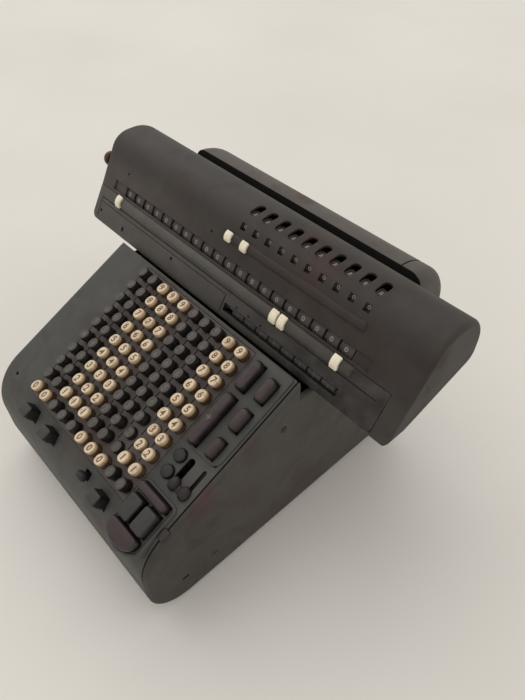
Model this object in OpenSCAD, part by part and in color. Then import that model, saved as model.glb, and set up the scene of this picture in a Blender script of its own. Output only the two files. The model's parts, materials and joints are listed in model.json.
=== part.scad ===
// Desk calculating machine with a full keyboard and a sliding carriage.
// It is drawn with x to the operator's right from the middle of the keyboard, y to the back
// from the front face and z up from the table. at_origin() then moves each piece, so that the
// origin lies on the table under the middle of the whole machine.

/* [Keyboard] */
// Distance between two columns of digit keys
col_pitch = 16; // [15.8:0.1:16.4]
// Distance between two rows of digit keys, along the slope
row_pitch = 16.4; // [16:0.1:17]
// Slope of the keyboard deck, in degrees
deck_slope = 25.55; // [24.5:0.05:26.5]
// Height of a digit key's top above the deck
key_height = 10.4; // [9.8:0.1:11.5]
// Travel of a digit key
key_travel = 5.6; // [4:0.1:5.8]
// Width of a digit key at its top
key_top_d = 10; // [9:0.1:10.6]
// Width of a digit key's cap at its foot
key_foot_d = 11.8; // [11.4:0.1:12.4]
// Width of the barrel under a digit key's cap
key_barrel_d = 11; // [9:0.1:11.2]
// Tilt of a digit key's top towards the level, in degrees
key_tilt = 10; // [0:1:16]
// Clearance around a key in its hole
key_gap = 0.4; // [0.3:0.05:0.5]
// First row of keys down to the row of zero keys
zero_setback = 16.3; // [15.8:0.1:17]
// Thickness of the key plate
plate_t = 1.6; // [1.2:0.1:2]
// Depth of the guide plate under the deck
guide_depth = 26; // [22:0.5:30]
// Thickness of the guide plate
guide_t = 2; // [1.5:0.1:3]
// Width of a key stem
stem_w = 3.2; // [2.4:0.1:4]
// Thickness of a key stem
stem_t = 1.8; // [1.2:0.1:2.4]

/* [Control keys] */
// Travel of a control key
bar_travel = 4; // [2.5:0.1:4.5]
// Flare of a control key's sides
bar_flare = 1.8; // [1:0.1:2]
// Thickness of the raised plate under the control keys
control_t = 1.6; // [1:0.1:2.2]
// Last column of keys to the middle of the motor keys
motor_key_x = 20.6; // [20:0.1:22]
// Last column of keys to the middle of the side keys
side_key_x = 41.4; // [40:0.1:42]
// Length of the plus bar
plus_len = 50.4; // [44:0.1:51]
// Width of the plus bar
plus_w = 8.6; // [7:0.1:9.6]
// Width of a round button
button_d = 12; // [9:0.1:13]
// Height of a round button above the deck
button_h = 4; // [3.6:0.1:6]
// Travel of the slider in its slots
slider_travel = 20; // [12:0.5:22]
// Width of a square key on the nose
square_w = 12.2; // [11.4:0.1:13]
// Height of the tops of the square keys above the plane of the deck
square_h = 9.6; // [9:0.1:10.5]
// Swing of the toggle lever to each side, in degrees
toggle_swing = 18; // [8:1:20]

/* [Body] */
// Front face back to the first row of keys
row1_setback = 45.7; // [45:0.1:48]
// Height of the deck at the first row of keys
row1_z = 130.8; // [128:0.1:136]
// Radius of the rounded nose
nose_r = 55; // [52:1:58]
// Radius of the lower front edge
low_r = 40; // [34:1:44]
// Height of the rubber feet
foot_h = 3; // [2:0.1:5]
// Width of a rubber foot
foot_d = 24; // [16:1:30]
// Wall of the housing
wall = 3; // [2.6:0.1:3.4]
// First column of keys to the left face
left_margin = 60; // [57:0.5:64]
// Last column of keys to the seam of the side cover
right_margin = 55.2; // [54.8:0.1:58]
// Thickness of the right side cover
side_cover_t = 5.2; // [4.4:0.1:6]
// Width of the seams between covers
seam = 0.4; // [0.3:0.05:0.6]
// Last row of keys to the back edge of the deck
back_margin = 12; // [11.6:0.1:14]
// Radius of the front left corner, seen from above
corner_r = 9; // [8:0.5:14]
// Depth of the body behind the deck
body_tail = 151; // [148:0.5:156]
// Thickness of the sheet metal of tray and frames
sheet_t = 3; // [2:0.1:4]

/* [Carriage] */
// Width of the carriage
carriage_w = 424; // [420:1:432]
// Middle of the carriage to the right of the keyboard's middle
carriage_shift = 2.4; // [0:0.1:4]
// Angle of the dial face to the level, in degrees
face_angle = 57.6; // [56:0.1:59]
// Back edge of the deck to the line of the lower dials, level
face_back = 32.5; // [32:0.1:35]
// Back edge of the deck to the line of the lower dials, upright
face_rise = 30.5; // [30:0.1:33]
// Length of the dial face below the lower dials
face_low = 42.6; // [42:0.1:44]
// Length of the dial face above the lower dials
face_high = 34.6; // [33:0.1:36]
// Radius of the carriage's shoulder
shoulder_r = 25.6; // [24:0.1:27]
// Radius of the carriage's back
back_r = 36; // [34:0.5:38]
// Wall of the carriage cover
carriage_wall = 2.2; // [1.8:0.1:2.4]
// Radius of a number dial
dial_r = 13.8; // [13:0.1:14]
// Left end of the carriage to its first number dial
dials_left = 52.3; // [51:0.1:54]
// Last number dial to the right end of the carriage
dials_right = 67.7; // [66:0.1:69]
// Radius of the dial shafts
shaft_r = 3; // [2:0.1:4]
// Clearance of a shaft in its bore
run_gap = 0.05; // [0.02:0.01:0.09]
// Travel of the carriage to the left
travel_left = 64; // [48:1:64]
// Travel of the carriage to the right
travel_right = 80; // [64:1:80]
// Height of the carriage rails
rail_h = 8; // [6:0.5:10]
// Width of the carriage rails
rail_w = 8; // [6:0.5:9]

/* [Rear cover] */
// Radius of the rear cover
barrel_r = 52.2; // [50:0.1:54]
// Gap between carriage and rear cover
rear_gap = 2.8; // [2:0.1:4]
// Height of the middle of the rear cover
barrel_z = 199.2; // [197:0.1:201]
// Depth of the rear cover below its middle
barrel_drop = 49.2; // [46:0.1:52]
// Rear cover beyond the body, on the left
barrel_left = 18; // [14:0.5:20]
// Rear cover beyond the body, on the right
barrel_right = 17.8; // [14:0.1:20]
// Length of the rear cover's right end cap
end_cap_len = 22; // [20:0.5:26]

/* [Drive] */
// Tooth module of the drive gears
gear_m = 2.2; // [2:0.05:2.3]
// Teeth of the motor pinion
pinion_teeth = 15; // [14:1:16]
// Teeth of the drum gear
drum_teeth = 45; // [42:1:46]
// Radius of the drum shaft
drum_shaft_r = 5; // [4:0.1:6]
// Radius of a shaft bush
bush_r = 8; // [7:0.1:9]
// Radius of the motor
motor_r = 34; // [28:0.5:36]
// Length of the motor
motor_len = 100; // [80:1:110]
// Tooth module of rack and shift pinion
rack_m = 2; // [1.8:0.05:2.1]
// Teeth of the shift pinion
shift_teeth = 12; // [11:1:13]

/* [Hidden] */
$fn = 72;
columns = 10;
rows = 9;
// Digit keys that stand pressed down: column, first row, last row
latched = [[8, 1, 2], [9, 2, 3]];
// Columns whose digit keys are ivory; their zero keys are dark, and the other way round
ivory_columns = [3, 4, 5, 9, 10];
seat_gap = 0.3;
lay_gap = 0.05;
cut = 1;

body_color = "#4b4a45";
metal_color = "#85878a";
dark_color = "#2a2726";
ivory_color = "#d9c5a2";
maroon_color = "#43322f";
red_color = "#5a1f22";
brass_color = "#a98a4a";
rubber_color = "#1f1f1f";

// Keyboard
half_keys = (columns - 1) / 2 * col_pitch;
function key_x(c) = (c - 1) * col_pitch - half_keys;
function key_v(r) = (r - 1) * row_pitch;
function is_latched(c, r) = len([for (l = latched) if (l[0] == c && r >= l[1] && r <= l[2]) 1]) > 0;
function is_ivory(c) = len([for (k = ivory_columns) if (k == c) 1]) > 0;
cap_h = key_height - key_travel - key_gap;
barrel_depth = plate_t + 0.6;
guide_w = -guide_depth - guide_t;
stem_depth = guide_depth + guide_t + 4;
plate_left = -half_keys - 8;
plate_right = half_keys + 7.2;
plate_front = -zero_setback - 10.1;
plate_back = key_v(rows) + 8;
plate_ledge = 1.4;
plate_sink = plate_t + 2;

// Deck, nose and body outline, in (y, z)
function deck_y(v, w = 0) = row1_setback + v * cos(deck_slope) - w * sin(deck_slope);
function deck_z(v, w = 0) = row1_z + v * sin(deck_slope) + w * cos(deck_slope);
function deck_z_at(y, i) =
    deck_z((y - row1_setback - i * sin(deck_slope)) / cos(deck_slope), -i);
body_left = -half_keys - left_margin;
seam_x = half_keys + right_margin;
cover_x = seam_x + seam;
body_right = cover_x + side_cover_t;
nose_y = nose_r;
nose_z = row1_z + ((nose_y - row1_setback) * sin(deck_slope) - nose_r) / cos(deck_slope);
nose_v = (nose_y - row1_setback) * cos(deck_slope) + (nose_z - row1_z) * sin(deck_slope);
low_y = low_r;
low_z = foot_h + low_r;
back_v = key_v(rows) + back_margin;
edge_y = deck_y(back_v);
edge_z = deck_z(back_v);
lip_t = 1.6;
lip_z = edge_z - 14.5;
body_back = edge_y + body_tail;
side_top = edge_z - 16.5;
tray_top = foot_h + sheet_t;
foot_inset = 26;

// Carriage outline, in (y, z)
face_y = edge_y + face_back;
face_z = edge_z + face_rise;
face_h = 1.6;
function face_pt(u, h) = [
    face_y + u * cos(face_angle) - h * sin(face_angle),
    face_z + u * sin(face_angle) + h * cos(face_angle)
];
shoulder = face_pt(face_high, face_h - shoulder_r);
top_z = shoulder[1] + shoulder_r;
top_flat = 7;
rear_r = 15;
rear_drop = 8;
belly_slope = 16.7;
back_c = [shoulder[0] + top_flat, top_z - back_r];
rear_c = [back_c[0] + back_r - rear_r, back_c[1] - rear_drop];
carriage_back = back_c[0] + back_r;
chin = face_pt(-face_low, face_h);
belly = [chin[0] + 21, chin[1] - 1.5];
function belly_z(y) = belly[1] + max(0, y - belly[0]) * tan(belly_slope);
carriage_left = carriage_shift - carriage_w / 2;
carriage_right = carriage_shift + carriage_w / 2;
end_r = 16;

// Dials: middle of the first lower dial, counts, and the axes as (y, z)
lower_count = 20;
upper_count = 10;
check_count = 8;
dial_pitch = (carriage_w - dials_left - dials_right) / (lower_count - 1);
function dial_x(n) = carriage_left + dials_left + n * dial_pitch;
upper_first = lower_count - upper_count;
check_first = lower_count - check_count;
lower_axis = face_pt(0, -dial_r);
upper_u = 39.9;
upper_sink = 0.7;
upper_axis = face_pt(upper_u, -dial_r - upper_sink);
check_u = -34.4;
check_r = 4.5;
check_axis = face_pt(check_u, -check_r - 0.5);
check_shaft_r = 1.5;
lower_dial_w = dial_pitch - 3.6;
upper_dial_w = dial_pitch - 7;
check_dial_w = dial_pitch / 2;
slot_left = dial_x(0) - 26.7;
slot_right = dial_x(lower_count - 1) + 26.1;
slot_low = -4.8;
slot_high = 5.6;
window_w = dial_pitch / 2;
window_l = 8.5;
window_u = 37.9;
trough_left = dial_x(upper_first) - 6;
trough_right = dial_x(lower_count - 1) + 10;
trough_front = upper_axis[0] + 0.6;
trough_back = upper_axis[0] + 12.6;
trough_channel = 3.4;
wheel_slot_w = upper_dial_w + 1;
check_left = dial_x(check_first) - 17;
check_right = dial_x(lower_count - 1) + 11;

// Front panel and marker rails of the carriage
panel_left = carriage_left + 4.8;
panel_right = carriage_right - 16.8;
panel_low = 1 - face_low;
panel_high = -8;
panel_back = 0.2;
panel_face = 2;
lower_rail_u = -12.4;
lower_rail_r = 7;
lower_rail_proud = 2.4;
lower_rail_left = dial_x(0) - 15.5;
lower_rail_right = dial_x(lower_count - 1) + 14.9;
upper_rail_u = 23.6;
upper_rail_r = 5;
upper_rail_proud = 2;
rail_root = 0.1;
upper_rail_left = dial_x(upper_first) - 15.5;
upper_rail_right = dial_x(lower_count - 1) + 6.9;
lower_marks = [dial_x(0) - 8.3, dial_x(14) + 7.2, dial_x(15) + 1.1, dial_x(18) + 14.6];
upper_marks = [dial_x(upper_first) - 9.9, dial_x(upper_first) + 11.2];
mark_w = 7;
mark_t = 1.9;
knob_r = 8;
knob_axis = [face_y + 15.2, face_z + 13];
knob_len = 9.6;

// Rails, shoes, rack
rail_front_y = belly[0] + 4;
rail_rear_y = belly[0] + 54;
rail_seat = belly[1] - 6 - rail_h;
rail_front_top = rail_seat + rail_h;
rail_rear_top = rail_front_top + 10;
rail_gap = 0.2;
shoe_wall = 2;
shoe_left = -50;
shoe_right = 38;
frame_x1 = body_left + wall + 4;
frame_x2 = seam_x - 8;
frame_front = 60;
floor_front = belly[0] - 4;
floor_back = rear_c[0];
floor_t = 3;
bracket_t = 3;
left_bracket = slot_left - 12;
right_bracket = slot_right + 3.5;
upper_post = dial_x(upper_first) - 16;
check_post = check_left - 4;
rack_p = PI * rack_m;
shift_r = rack_m * shift_teeth / 2;
rack_y = belly[0] + 26;
rack_w = 6;
rack_pitch_z = belly_z(rack_y) - 7;
shift_z = rack_pitch_z - shift_r;
shift_shaft_r = 3;
shift_bracket_y = rack_y + rack_w + 2.5;

// Rear cover
barrel_y = carriage_back;
rear_y = barrel_y + barrel_r;
rear_front = carriage_back + rear_gap;
rear_floor = barrel_z - barrel_drop;
rear_wall = 2.2;
rear_left = body_left - barrel_left;
rear_right = body_right + barrel_right;
rear_seam = rear_right - end_cap_len;
rear_step = rear_front - 1.5;
rear_end_r = 18;

// Drive
gear_x = seam_x - 31;
gear_w = 8;
drum_axis = [edge_y + 31, 90];
drum_r = gear_m * drum_teeth / 2;
pinion_r = gear_m * pinion_teeth / 2;
mesh_angle = -35;
motor_axis = drum_axis + (drum_r + pinion_r) * [cos(mesh_angle), sin(mesh_angle)];
motor_x2 = gear_x - 8;
motor_x1 = motor_x2 - motor_len;
motor_shaft_r = 4;
motor_shaft_in = 14;
stepped_teeth = 20;
stepped_m = 1.6;
stepped_w = 8;

// Power inlet in the back wall, as x and z of its middle, and the vents beside it
inlet_at = [60, 46];
inlet_w = 28;
inlet_h = 20;
inlet_wall = 2;
inlet_depth = 18;
inlet_flange = 4;
inlet_face = 2.5;
inlet_gap = 0.2;
pin_r = 1.8;
pin_gap = 13;
pin_len = 11;
vent_count = 9;
vent_x = -96;
vent_pitch = 11;
vent_w = 4;
vent_z = 60;
vent_h = 50;

// Control keys: middle x, middle v, width, length of the top
motor_x = half_keys + motor_key_x;
side_x = half_keys + side_key_x;
upper_motor = [motor_x, 120.8, 9, 27.2];
plus = [motor_x, 73.2, plus_w, plus_len];
upper_side = [side_x, 120, 8, 20.8];
middle_side = [side_x, 88, 7.6, 19.2];
lower_side = [side_x, 58, 6.4, 16.8];
control_keys = [upper_motor, plus, upper_side, middle_side, lower_side];
control_left = plate_right + 1.2;
control_right = side_x + 11.2;
control_front = plus[1] - plus_len / 2 - 3.2;
control_back = back_v - 0.8;
control_r = 5;
bar_cap_h = key_height - control_t - bar_travel - key_gap;
skirt_inset = 0.6;
skirt_depth = 3.6;
buttons = [[motor_x - 1.2, 33.6], [motor_x - 0.2, 17.1]];

// Front cluster of keys and the pan around it
pan_left = control_left + 0.4;
pan_right = half_keys + 52;
pan_front = -55.5;
pan_back = 2.9;
pan_h = 2.4;
pan_wall = 2.4;
pan_cut = 20;
pan_under = -34;
pan_low_z = deck_z(pan_front) - 13.5;
pan_x = half_keys + 30;
pan_mid = (pan_left + pan_right) / 2;
pan_arc_r = 28;
pan_arc_v = pan_front + pan_arc_r;
bar_arc_r = pan_arc_r - 5;
cluster_cap_h = key_height - pan_h - bar_travel - key_gap;
rear_bar = [pan_x - 0.6, -4, 34, 6.4];
front_bar = [pan_mid, -43.5, 33, 15];
left_key = [pan_x - 9.6, -22.6, 14, 21];
right_key = [pan_x + 8.8, -22.2, 14, 21.6];
cluster_flare = 1;
cluster_keys = [rear_bar, front_bar, left_key, right_key];

// Slider: slots in the deck at two places, and the lever that joins them
slot_x = [half_keys + 31.2, half_keys + 46.9];
slot_w = [7, 3.8];
slot_front = 10.4;
tongue_len = 8;
slider_front = 8;
slider_len = 12.8;
slider_t = 3.2;
tongue_depth = 8;

// Square keys, which stand on the nose and move like the deck's keys: x and v
squares = [[-half_keys + 9.3, -39.3], [-half_keys + 44.4, -39.3], [half_keys - 12.5, -41.2]];
square_l = square_w - 1.4;
square_travel = 3.2;
square_flare = 1.2;
// Lever on the nose: x, and arc below the end of the flat deck
toggle_at = [half_keys - 40.2, 21.4];
toggle_depth = 7;
toggle_h = 11;
toggle_w = 7;
toggle_t = 3.6;
toggle_pin_r = 1.6;
toggle_slot = 2 * (toggle_t / 2 / cos(toggle_swing) + toggle_depth * tan(toggle_swing) + key_gap);
ear_t = 2.4;

// Screws of the side cover, as (y, z), and the catch on its seam
side_screws = [
    [70, 34],
    [body_back - 40, 30],
    [edge_y - 20, side_top - 26],
    [body_back - 60, side_top - 50]
];
screw_r = 1.6;
screw_head_r = 3.4;
screw_head_h = 1.2;
catch_v = -24;
catch_l = 10;
catch_h = 2.2;

// Middle of the whole machine, seen from above; pan and front bar stand out of the front face
front_y = min(0, deck_y(pan_front, pan_h), deck_y(pan_arc_v - bar_arc_r, key_height));
mid_x = (carriage_left - knob_len + carriage_right) / 2;
mid_y = (front_y + rear_y) / 2;

// Frames and helpers

module at_origin() {
    translate([-mid_x, -mid_y, 0])
        children();
}

// Extrudes an outline drawn in (y, z) from x0 to x1
module along_x(x0, x1) {
    translate([x0, 0, 0])
        rotate([90, 0, 90])
            linear_extrude(height = x1 - x0)
                children();
}

// Deck frame: x, v up the slope from the first row, w out of the deck
module on_deck() {
    translate([0, row1_setback, row1_z])
        rotate([deck_slope, 0, 0])
            children();
}

// Height of the nose over the plane of the deck at v; the flat deck ends at nose_v
function nose_w(v) = sqrt(nose_r * nose_r - (v - nose_v) * (v - nose_v)) - nose_r;

// Nose frame: arc measured down the nose from the end of the flat deck
module on_nose(arc) {
    translate([0, nose_y, nose_z])
        rotate([deck_slope + arc / nose_r * 180 / PI, 0, 0])
            translate([0, 0, nose_r])
                children();
}

// Dial face frame: x, u up the face from the lower dials, h out of the face
module on_face() {
    translate([0, face_y, face_z])
        rotate([face_angle, 0, 0])
            children();
}

module box(x0, x1, y0, y1, z0, z1) {
    translate([x0, y0, z0])
        cube([x1 - x0, y1 - y0, z1 - z0]);
}

// Cylinder along x at the point axis = [y, z]
module rod(axis, r, x0, x1) {
    translate([x0, axis[0], axis[1]])
        rotate([0, 90, 0])
            cylinder(r = r, h = x1 - x0);
}

module rounded_rect(x0, x1, y0, y1, r) {
    translate([x0 + r, y0])
        square([x1 - x0 - 2 * r, y1 - y0]);
    translate([x0, y0 + r])
        square([x1 - x0, y1 - y0 - 2 * r]);
    for (x = [x0 + r, x1 - r], y = [y0 + r, y1 - r])
        translate([x, y])
            circle(r);
}

// Outline of a spur gear with straight-sided teeth; a tooth points along +x
module gear_2d(teeth, m) {
    tip = m * teeth / 2 + 0.8 * m;
    root = m * teeth / 2 - 1.15 * m;
    half = [-0.27, -0.12, 0.12, 0.27];
    polygon([
        for (i = [0 : teeth - 1], k = [0 : 3])
            let (a = 360 / teeth * (i + half[k]), r = (k == 1 || k == 2) ? tip : root)
                [r * cos(a), r * sin(a)]
    ]);
}

// Body outline in (y, z), moved in by i on all sides
module body_profile(i = 0) {
    translate([nose_y, nose_z])
        circle(nose_r - i);
    translate([low_y, low_z])
        circle(low_r - i);
    polygon([
        [nose_y - (nose_r - i) * sin(deck_slope), nose_z + (nose_r - i) * cos(deck_slope)],
        [i, nose_z],
        [i, low_z],
        [low_y, foot_h + i],
        [body_back - i, foot_h + i],
        [body_back - i, rear_floor - seat_gap - i],
        [rear_step - i, rear_floor - seat_gap - i],
        [rear_step - i, side_top - i],
        [edge_y - i, side_top - i],
        [edge_y - i, deck_z_at(edge_y - i, i)]
    ]);
}

// Inside of the housing in (y, z): open below, behind and above the tail
module body_inside(i) {
    translate([nose_y, nose_z])
        circle(nose_r - i);
    translate([low_y, low_z])
        circle(low_r - i);
    polygon([
        [nose_y - (nose_r - i) * sin(deck_slope), nose_z + (nose_r - i) * cos(deck_slope)],
        [i, nose_z],
        [i, low_z],
        [low_y, foot_h + i],
        [low_y, foot_h - cut],
        [body_back + cut, foot_h - cut],
        [body_back + cut, edge_z + cut],
        [edge_y, edge_z + cut],
        [edge_y, lip_z],
        [edge_y - lip_t, lip_z],
        [edge_y - lip_t, deck_z_at(edge_y - lip_t, i)]
    ]);
}

// Housing seen from above, moved in by i; only the front left corner is round
module housing_plan(i) {
    r = corner_r - i;
    translate([body_left + i + r, i])
        square([seam_x - body_left + cut, body_back + cut]);
    translate([body_left + i, i + r])
        square([seam_x - body_left + cut, body_back + cut]);
    translate([body_left + i + r, i + r])
        circle(r);
}

// Key shapes

module digit_key() {
    rise = key_top_d / 2 * tan(key_tilt) + 0.2;
    slim = (key_foot_d - key_top_d) / cap_h;
    difference() {
        translate([0, 0, key_height - cap_h])
            cylinder(d1 = key_foot_d, d2 = key_top_d - slim * rise, h = cap_h + rise);
        translate([0, 0, key_height])
            rotate([-key_tilt, 0, 0])
                translate([-key_foot_d, -key_foot_d, 0])
                    cube(2 * key_foot_d);
    }
    translate([0, 0, -barrel_depth])
        cylinder(d = key_barrel_d, h = key_height - cap_h + barrel_depth + 0.5);
    key_stem(barrel_depth - 0.5);
}

module key_stem(start) {
    translate([-stem_w / 2, -stem_t / 2, -stem_depth])
        cube([stem_w, stem_t, stem_depth - start]);
}

// Block with flat top, whose four sides flare out towards its foot at z = 0
module flared_block(w, l, h, flare) {
    intersection() {
        translate([0, l / 2 + flare, 0])
            rotate([90, 0, 0])
                linear_extrude(height = l + 2 * flare)
                    polygon([[-w / 2 - flare, 0], [w / 2 + flare, 0], [w / 2, h], [-w / 2, h]]);
        translate([-w / 2 - flare, 0, 0])
            rotate([90, 0, 90])
                linear_extrude(height = w + 2 * flare)
                    polygon([[-l / 2 - flare, 0], [l / 2 + flare, 0], [l / 2, h], [-l / 2, h]]);
    }
}

// Straight skirt under a flared cap, which runs in the opening of its plate
module skirt(w, l, flare, grow, z0, z1) {
    sx = w + 2 * (flare - skirt_inset + grow);
    sy = l + 2 * (flare - skirt_inset + grow);
    translate([-sx / 2, -sy / 2, z0])
        cube([sx, sy, z1 - z0]);
}

module block_key(w, l, top, h, flare) {
    translate([0, 0, top - h])
        flared_block(w, l, h, flare);
    skirt(w, l, flare, 0, -skirt_depth, top - h + 0.5);
}

// Control key on the deck: spec = [x, v, width, length]
module control_key(spec) {
    on_deck()
        translate([spec[0], spec[1], 0]) {
            block_key(spec[2], spec[3], key_height, bar_cap_h, bar_flare);
            key_stem(skirt_depth - 0.5);
        }
}

module cluster_key(spec) {
    on_deck()
        translate([spec[0], spec[1], 0]) {
            block_key(spec[2], spec[3], key_height, cluster_cap_h, cluster_flare);
            key_stem(skirt_depth - 0.5);
        }
}

// Room for the front bar, whose front edge runs round with the pan: its cap and its skirt
module bar_room(grow) {
    on_deck()
        translate([pan_mid, pan_arc_v, 0]) {
            translate([0, 0, key_height - cluster_cap_h])
                cylinder(r1 = bar_arc_r + cluster_flare, r2 = bar_arc_r, h = cluster_cap_h);
            translate([0, 0, -stem_depth])
                cylinder(r = bar_arc_r + cluster_flare - skirt_inset + grow,
                         h = stem_depth + key_height - cluster_cap_h);
        }
}

module round_button(spot) {
    edge = 0.8;
    on_deck()
        translate([spot[0], spot[1], 0]) {
            translate([0, 0, -wall - 2])
                cylinder(d = button_d, h = wall + 2 + button_h - edge);
            translate([0, 0, button_h - edge])
                cylinder(d1 = button_d, d2 = button_d - 2 * edge, h = edge);
            key_stem(wall + 1.5);
        }
}

module square_key(spot) {
    foot = nose_w(spot[1] + square_l / 2 + square_flare) + square_travel + key_gap;
    on_deck()
        translate([spot[0], spot[1], 0]) {
            translate([0, 0, foot])
                flared_block(square_w, square_l, square_h - foot, square_flare);
            skirt(square_w, square_l, square_flare, 0, nose_w(spot[1] - square_l / 2) - wall - 4, foot + 0.5);
        }
}

module key_column(c) {
    color(is_ivory(c) ? ivory_color : dark_color)
        at_origin()
            on_deck()
                for (r = [1 : rows])
                    if (!is_latched(c, r))
                        translate([key_x(c), key_v(r), 0])
                            digit_key();
}

module latched_keys(c) {
    color(is_ivory(c) ? ivory_color : dark_color)
        at_origin()
            on_deck()
                for (r = [1 : rows])
                    if (is_latched(c, r))
                        translate([key_x(c), key_v(r), -key_travel])
                            digit_key();
}

module zero_keys(ivory) {
    at_origin()
        on_deck()
            for (c = [1 : columns])
                if (is_ivory(c) != ivory)
                    translate([key_x(c), -zero_setback, 0])
                        digit_key();
}

// Fixed pieces

module base_tray() {
    x0 = body_left + wall + seat_gap;
    x1 = seam_x;
    color(metal_color)
        at_origin()
            difference() {
                union() {
                    box(x0, x1, low_y + seat_gap, body_back, foot_h, tray_top);
                    box(x0, x1, body_back - sheet_t, body_back, foot_h, rear_floor - seat_gap);
                }
                inlet_box(inlet_gap, body_back - sheet_t - cut, body_back + cut);
                for (i = [0 : vent_count - 1])
                    box(vent_x + i * vent_pitch, vent_x + i * vent_pitch + vent_w,
                        body_back - sheet_t - cut, body_back + cut, vent_z, vent_z + vent_h);
            }
}

// Box of the inlet's size, larger by grow all round, from y0 to y1
module inlet_box(grow, y0, y1) {
    box(inlet_at[0] - inlet_w / 2 - grow, inlet_at[0] + inlet_w / 2 + grow, y0, y1,
        inlet_at[1] - inlet_h / 2 - grow, inlet_at[1] + inlet_h / 2 + grow);
}

module power_inlet() {
    y0 = body_back - inlet_depth;
    color(dark_color)
        at_origin()
            difference() {
                union() {
                    inlet_box(0, y0, body_back + lay_gap);
                    inlet_box(inlet_flange, body_back + lay_gap, body_back + inlet_face);
                }
                difference() {
                    inlet_box(-inlet_wall, y0 + inlet_wall, body_back + inlet_face + cut);
                    for (s = [-1, 1])
                        translate([inlet_at[0] + s * pin_gap / 2, y0, inlet_at[1]])
                            rotate([-90, 0, 0])
                                cylinder(r = pin_r, h = inlet_wall + pin_len);
                }
            }
}

module rubber_feet() {
    color(rubber_color)
        at_origin()
            for (x = [body_left + foot_inset, seam_x - foot_inset],
                 y = [low_y + foot_inset, body_back - foot_inset])
                translate([x, y, 0])
                    cylinder(d1 = foot_d - 2, d2 = foot_d, h = foot_h);
}

module frame_plate(x0) {
    v0 = (frame_front - row1_setback + guide_w * sin(deck_slope)) / cos(deck_slope);
    difference() {
        along_x(x0, x0 + sheet_t)
            polygon([
                [frame_front, tray_top],
                [body_back - sheet_t - 3, tray_top],
                [body_back - sheet_t - 3, rear_floor - 4],
                [rear_step - 6, rear_floor - 4],
                [rear_step - 6, rail_seat],
                [deck_y(back_v, guide_w), rail_seat],
                [deck_y(back_v, guide_w), deck_z(back_v, guide_w)],
                [frame_front, deck_z(v0, guide_w)]
            ]);
        rod(drum_axis, bush_r + 0.02, x0 - cut, x0 + sheet_t + cut);
    }
}

module left_frame() {
    color(metal_color)
        at_origin()
            frame_plate(frame_x1);
}

module right_frame() {
    color(metal_color)
        at_origin()
            frame_plate(frame_x2 - sheet_t);
}

module shaft_bushes() {
    flange = 1.5;
    color(brass_color)
        at_origin()
            for (side = [0, 1]) {
                x0 = side == 0 ? frame_x1 : frame_x2 - sheet_t;
                xf = side == 0 ? frame_x1 + sheet_t : frame_x2 - sheet_t - flange;
                difference() {
                    union() {
                        rod(drum_axis, bush_r, x0, x0 + sheet_t);
                        rod(drum_axis, bush_r + 2, xf, xf + flange);
                    }
                    rod(drum_axis, drum_shaft_r + run_gap, x0 - 3, x0 + sheet_t + 3);
                }
            }
}

module key_window(grow, w0, w1) {
    on_deck()
        box(plate_left - grow, plate_right + grow, plate_front - grow, plate_back + grow, w0, w1);
}

module main_housing() {
    deep = wall + 2;
    color(body_color)
        at_origin() {
            difference() {
                intersection() {
                    along_x(body_left, seam_x)
                        body_profile();
                    linear_extrude(height = edge_z + cut)
                        housing_plan(0);
                }
                intersection() {
                    along_x(body_left + wall, seam_x + cut)
                        body_inside(wall);
                    translate([0, 0, -cut])
                        linear_extrude(height = edge_z + 3 * cut)
                            housing_plan(wall);
                }
                difference() {
                    key_window(seam, -plate_sink, plate_sink);
                    along_x(plate_left - 2 * cut, plate_right + 2 * cut)
                        body_profile(plate_t);
                }
                key_window(-plate_ledge, -deep, cut);
                on_deck() {
                    box(control_left + plate_ledge, control_right - plate_ledge,
                        control_front + plate_ledge, control_back - control_r, -deep, cut);
                    translate([0, 0, -pan_cut])
                        linear_extrude(height = pan_cut + cut)
                            pan_outline(pan_wall);
                    for (b = buttons)
                        translate([b[0], b[1], -deep])
                            cylinder(d = button_d + 2 * key_gap, h = deep + cut);
                    for (k = [0, 1])
                        box(slot_x[k] - slot_w[k] / 2, slot_x[k] + slot_w[k] / 2, slot_front,
                            slot_front + tongue_len + slider_travel + 2 * key_gap, -deep, cut);
                }
                on_deck()
                    for (q = squares)
                        translate([q[0], q[1], 0])
                            skirt(square_w, square_l, square_flare, key_gap, nose_w(q[1] - square_l) - wall - 2, 4);
                on_nose(toggle_at[1])
                    box(toggle_at[0] - toggle_w / 2 - key_gap, toggle_at[0] + toggle_w / 2 + key_gap,
                        -toggle_slot / 2, toggle_slot / 2, -deep, 4);
            }
            toggle_ears();
        }
}

// Two ears under the nose that carry the pin of the toggle lever
module toggle_ears() {
    inner = toggle_w / 2 + key_gap;
    half_l = toggle_slot / 2 + 3;
    on_nose(toggle_at[1])
        translate([toggle_at[0], 0, 0])
            for (s = [-1, 1])
                difference() {
                    translate([s * (inner + ear_t / 2) - ear_t / 2, -half_l, -toggle_depth - 4])
                        cube([ear_t, 2 * half_l, toggle_depth + 4 - wall + 0.6]);
                    translate([s * (inner + ear_t / 2) - ear_t, 0, -toggle_depth])
                        rotate([0, 90, 0])
                            cylinder(r = toggle_pin_r + run_gap, h = 2 * ear_t);
                }
}

module toggle_lever() {
    pin_l = toggle_w + 2 * key_gap + 2 * ear_t;
    tip_r = 3.2;
    color(red_color)
        at_origin()
            on_nose(toggle_at[1])
                translate([toggle_at[0], 0, 0]) {
                    translate([-toggle_w / 2, -toggle_t / 2, -toggle_depth])
                        cube([toggle_w, toggle_t, toggle_depth + toggle_h - tip_r]);
                    translate([-toggle_w / 2, 0, toggle_h - tip_r])
                        rotate([0, 90, 0])
                            cylinder(r = tip_r, h = toggle_w);
                    translate([-pin_l / 2, 0, -toggle_depth])
                        rotate([0, 90, 0])
                            cylinder(r = toggle_pin_r, h = pin_l);
                }
}

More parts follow.
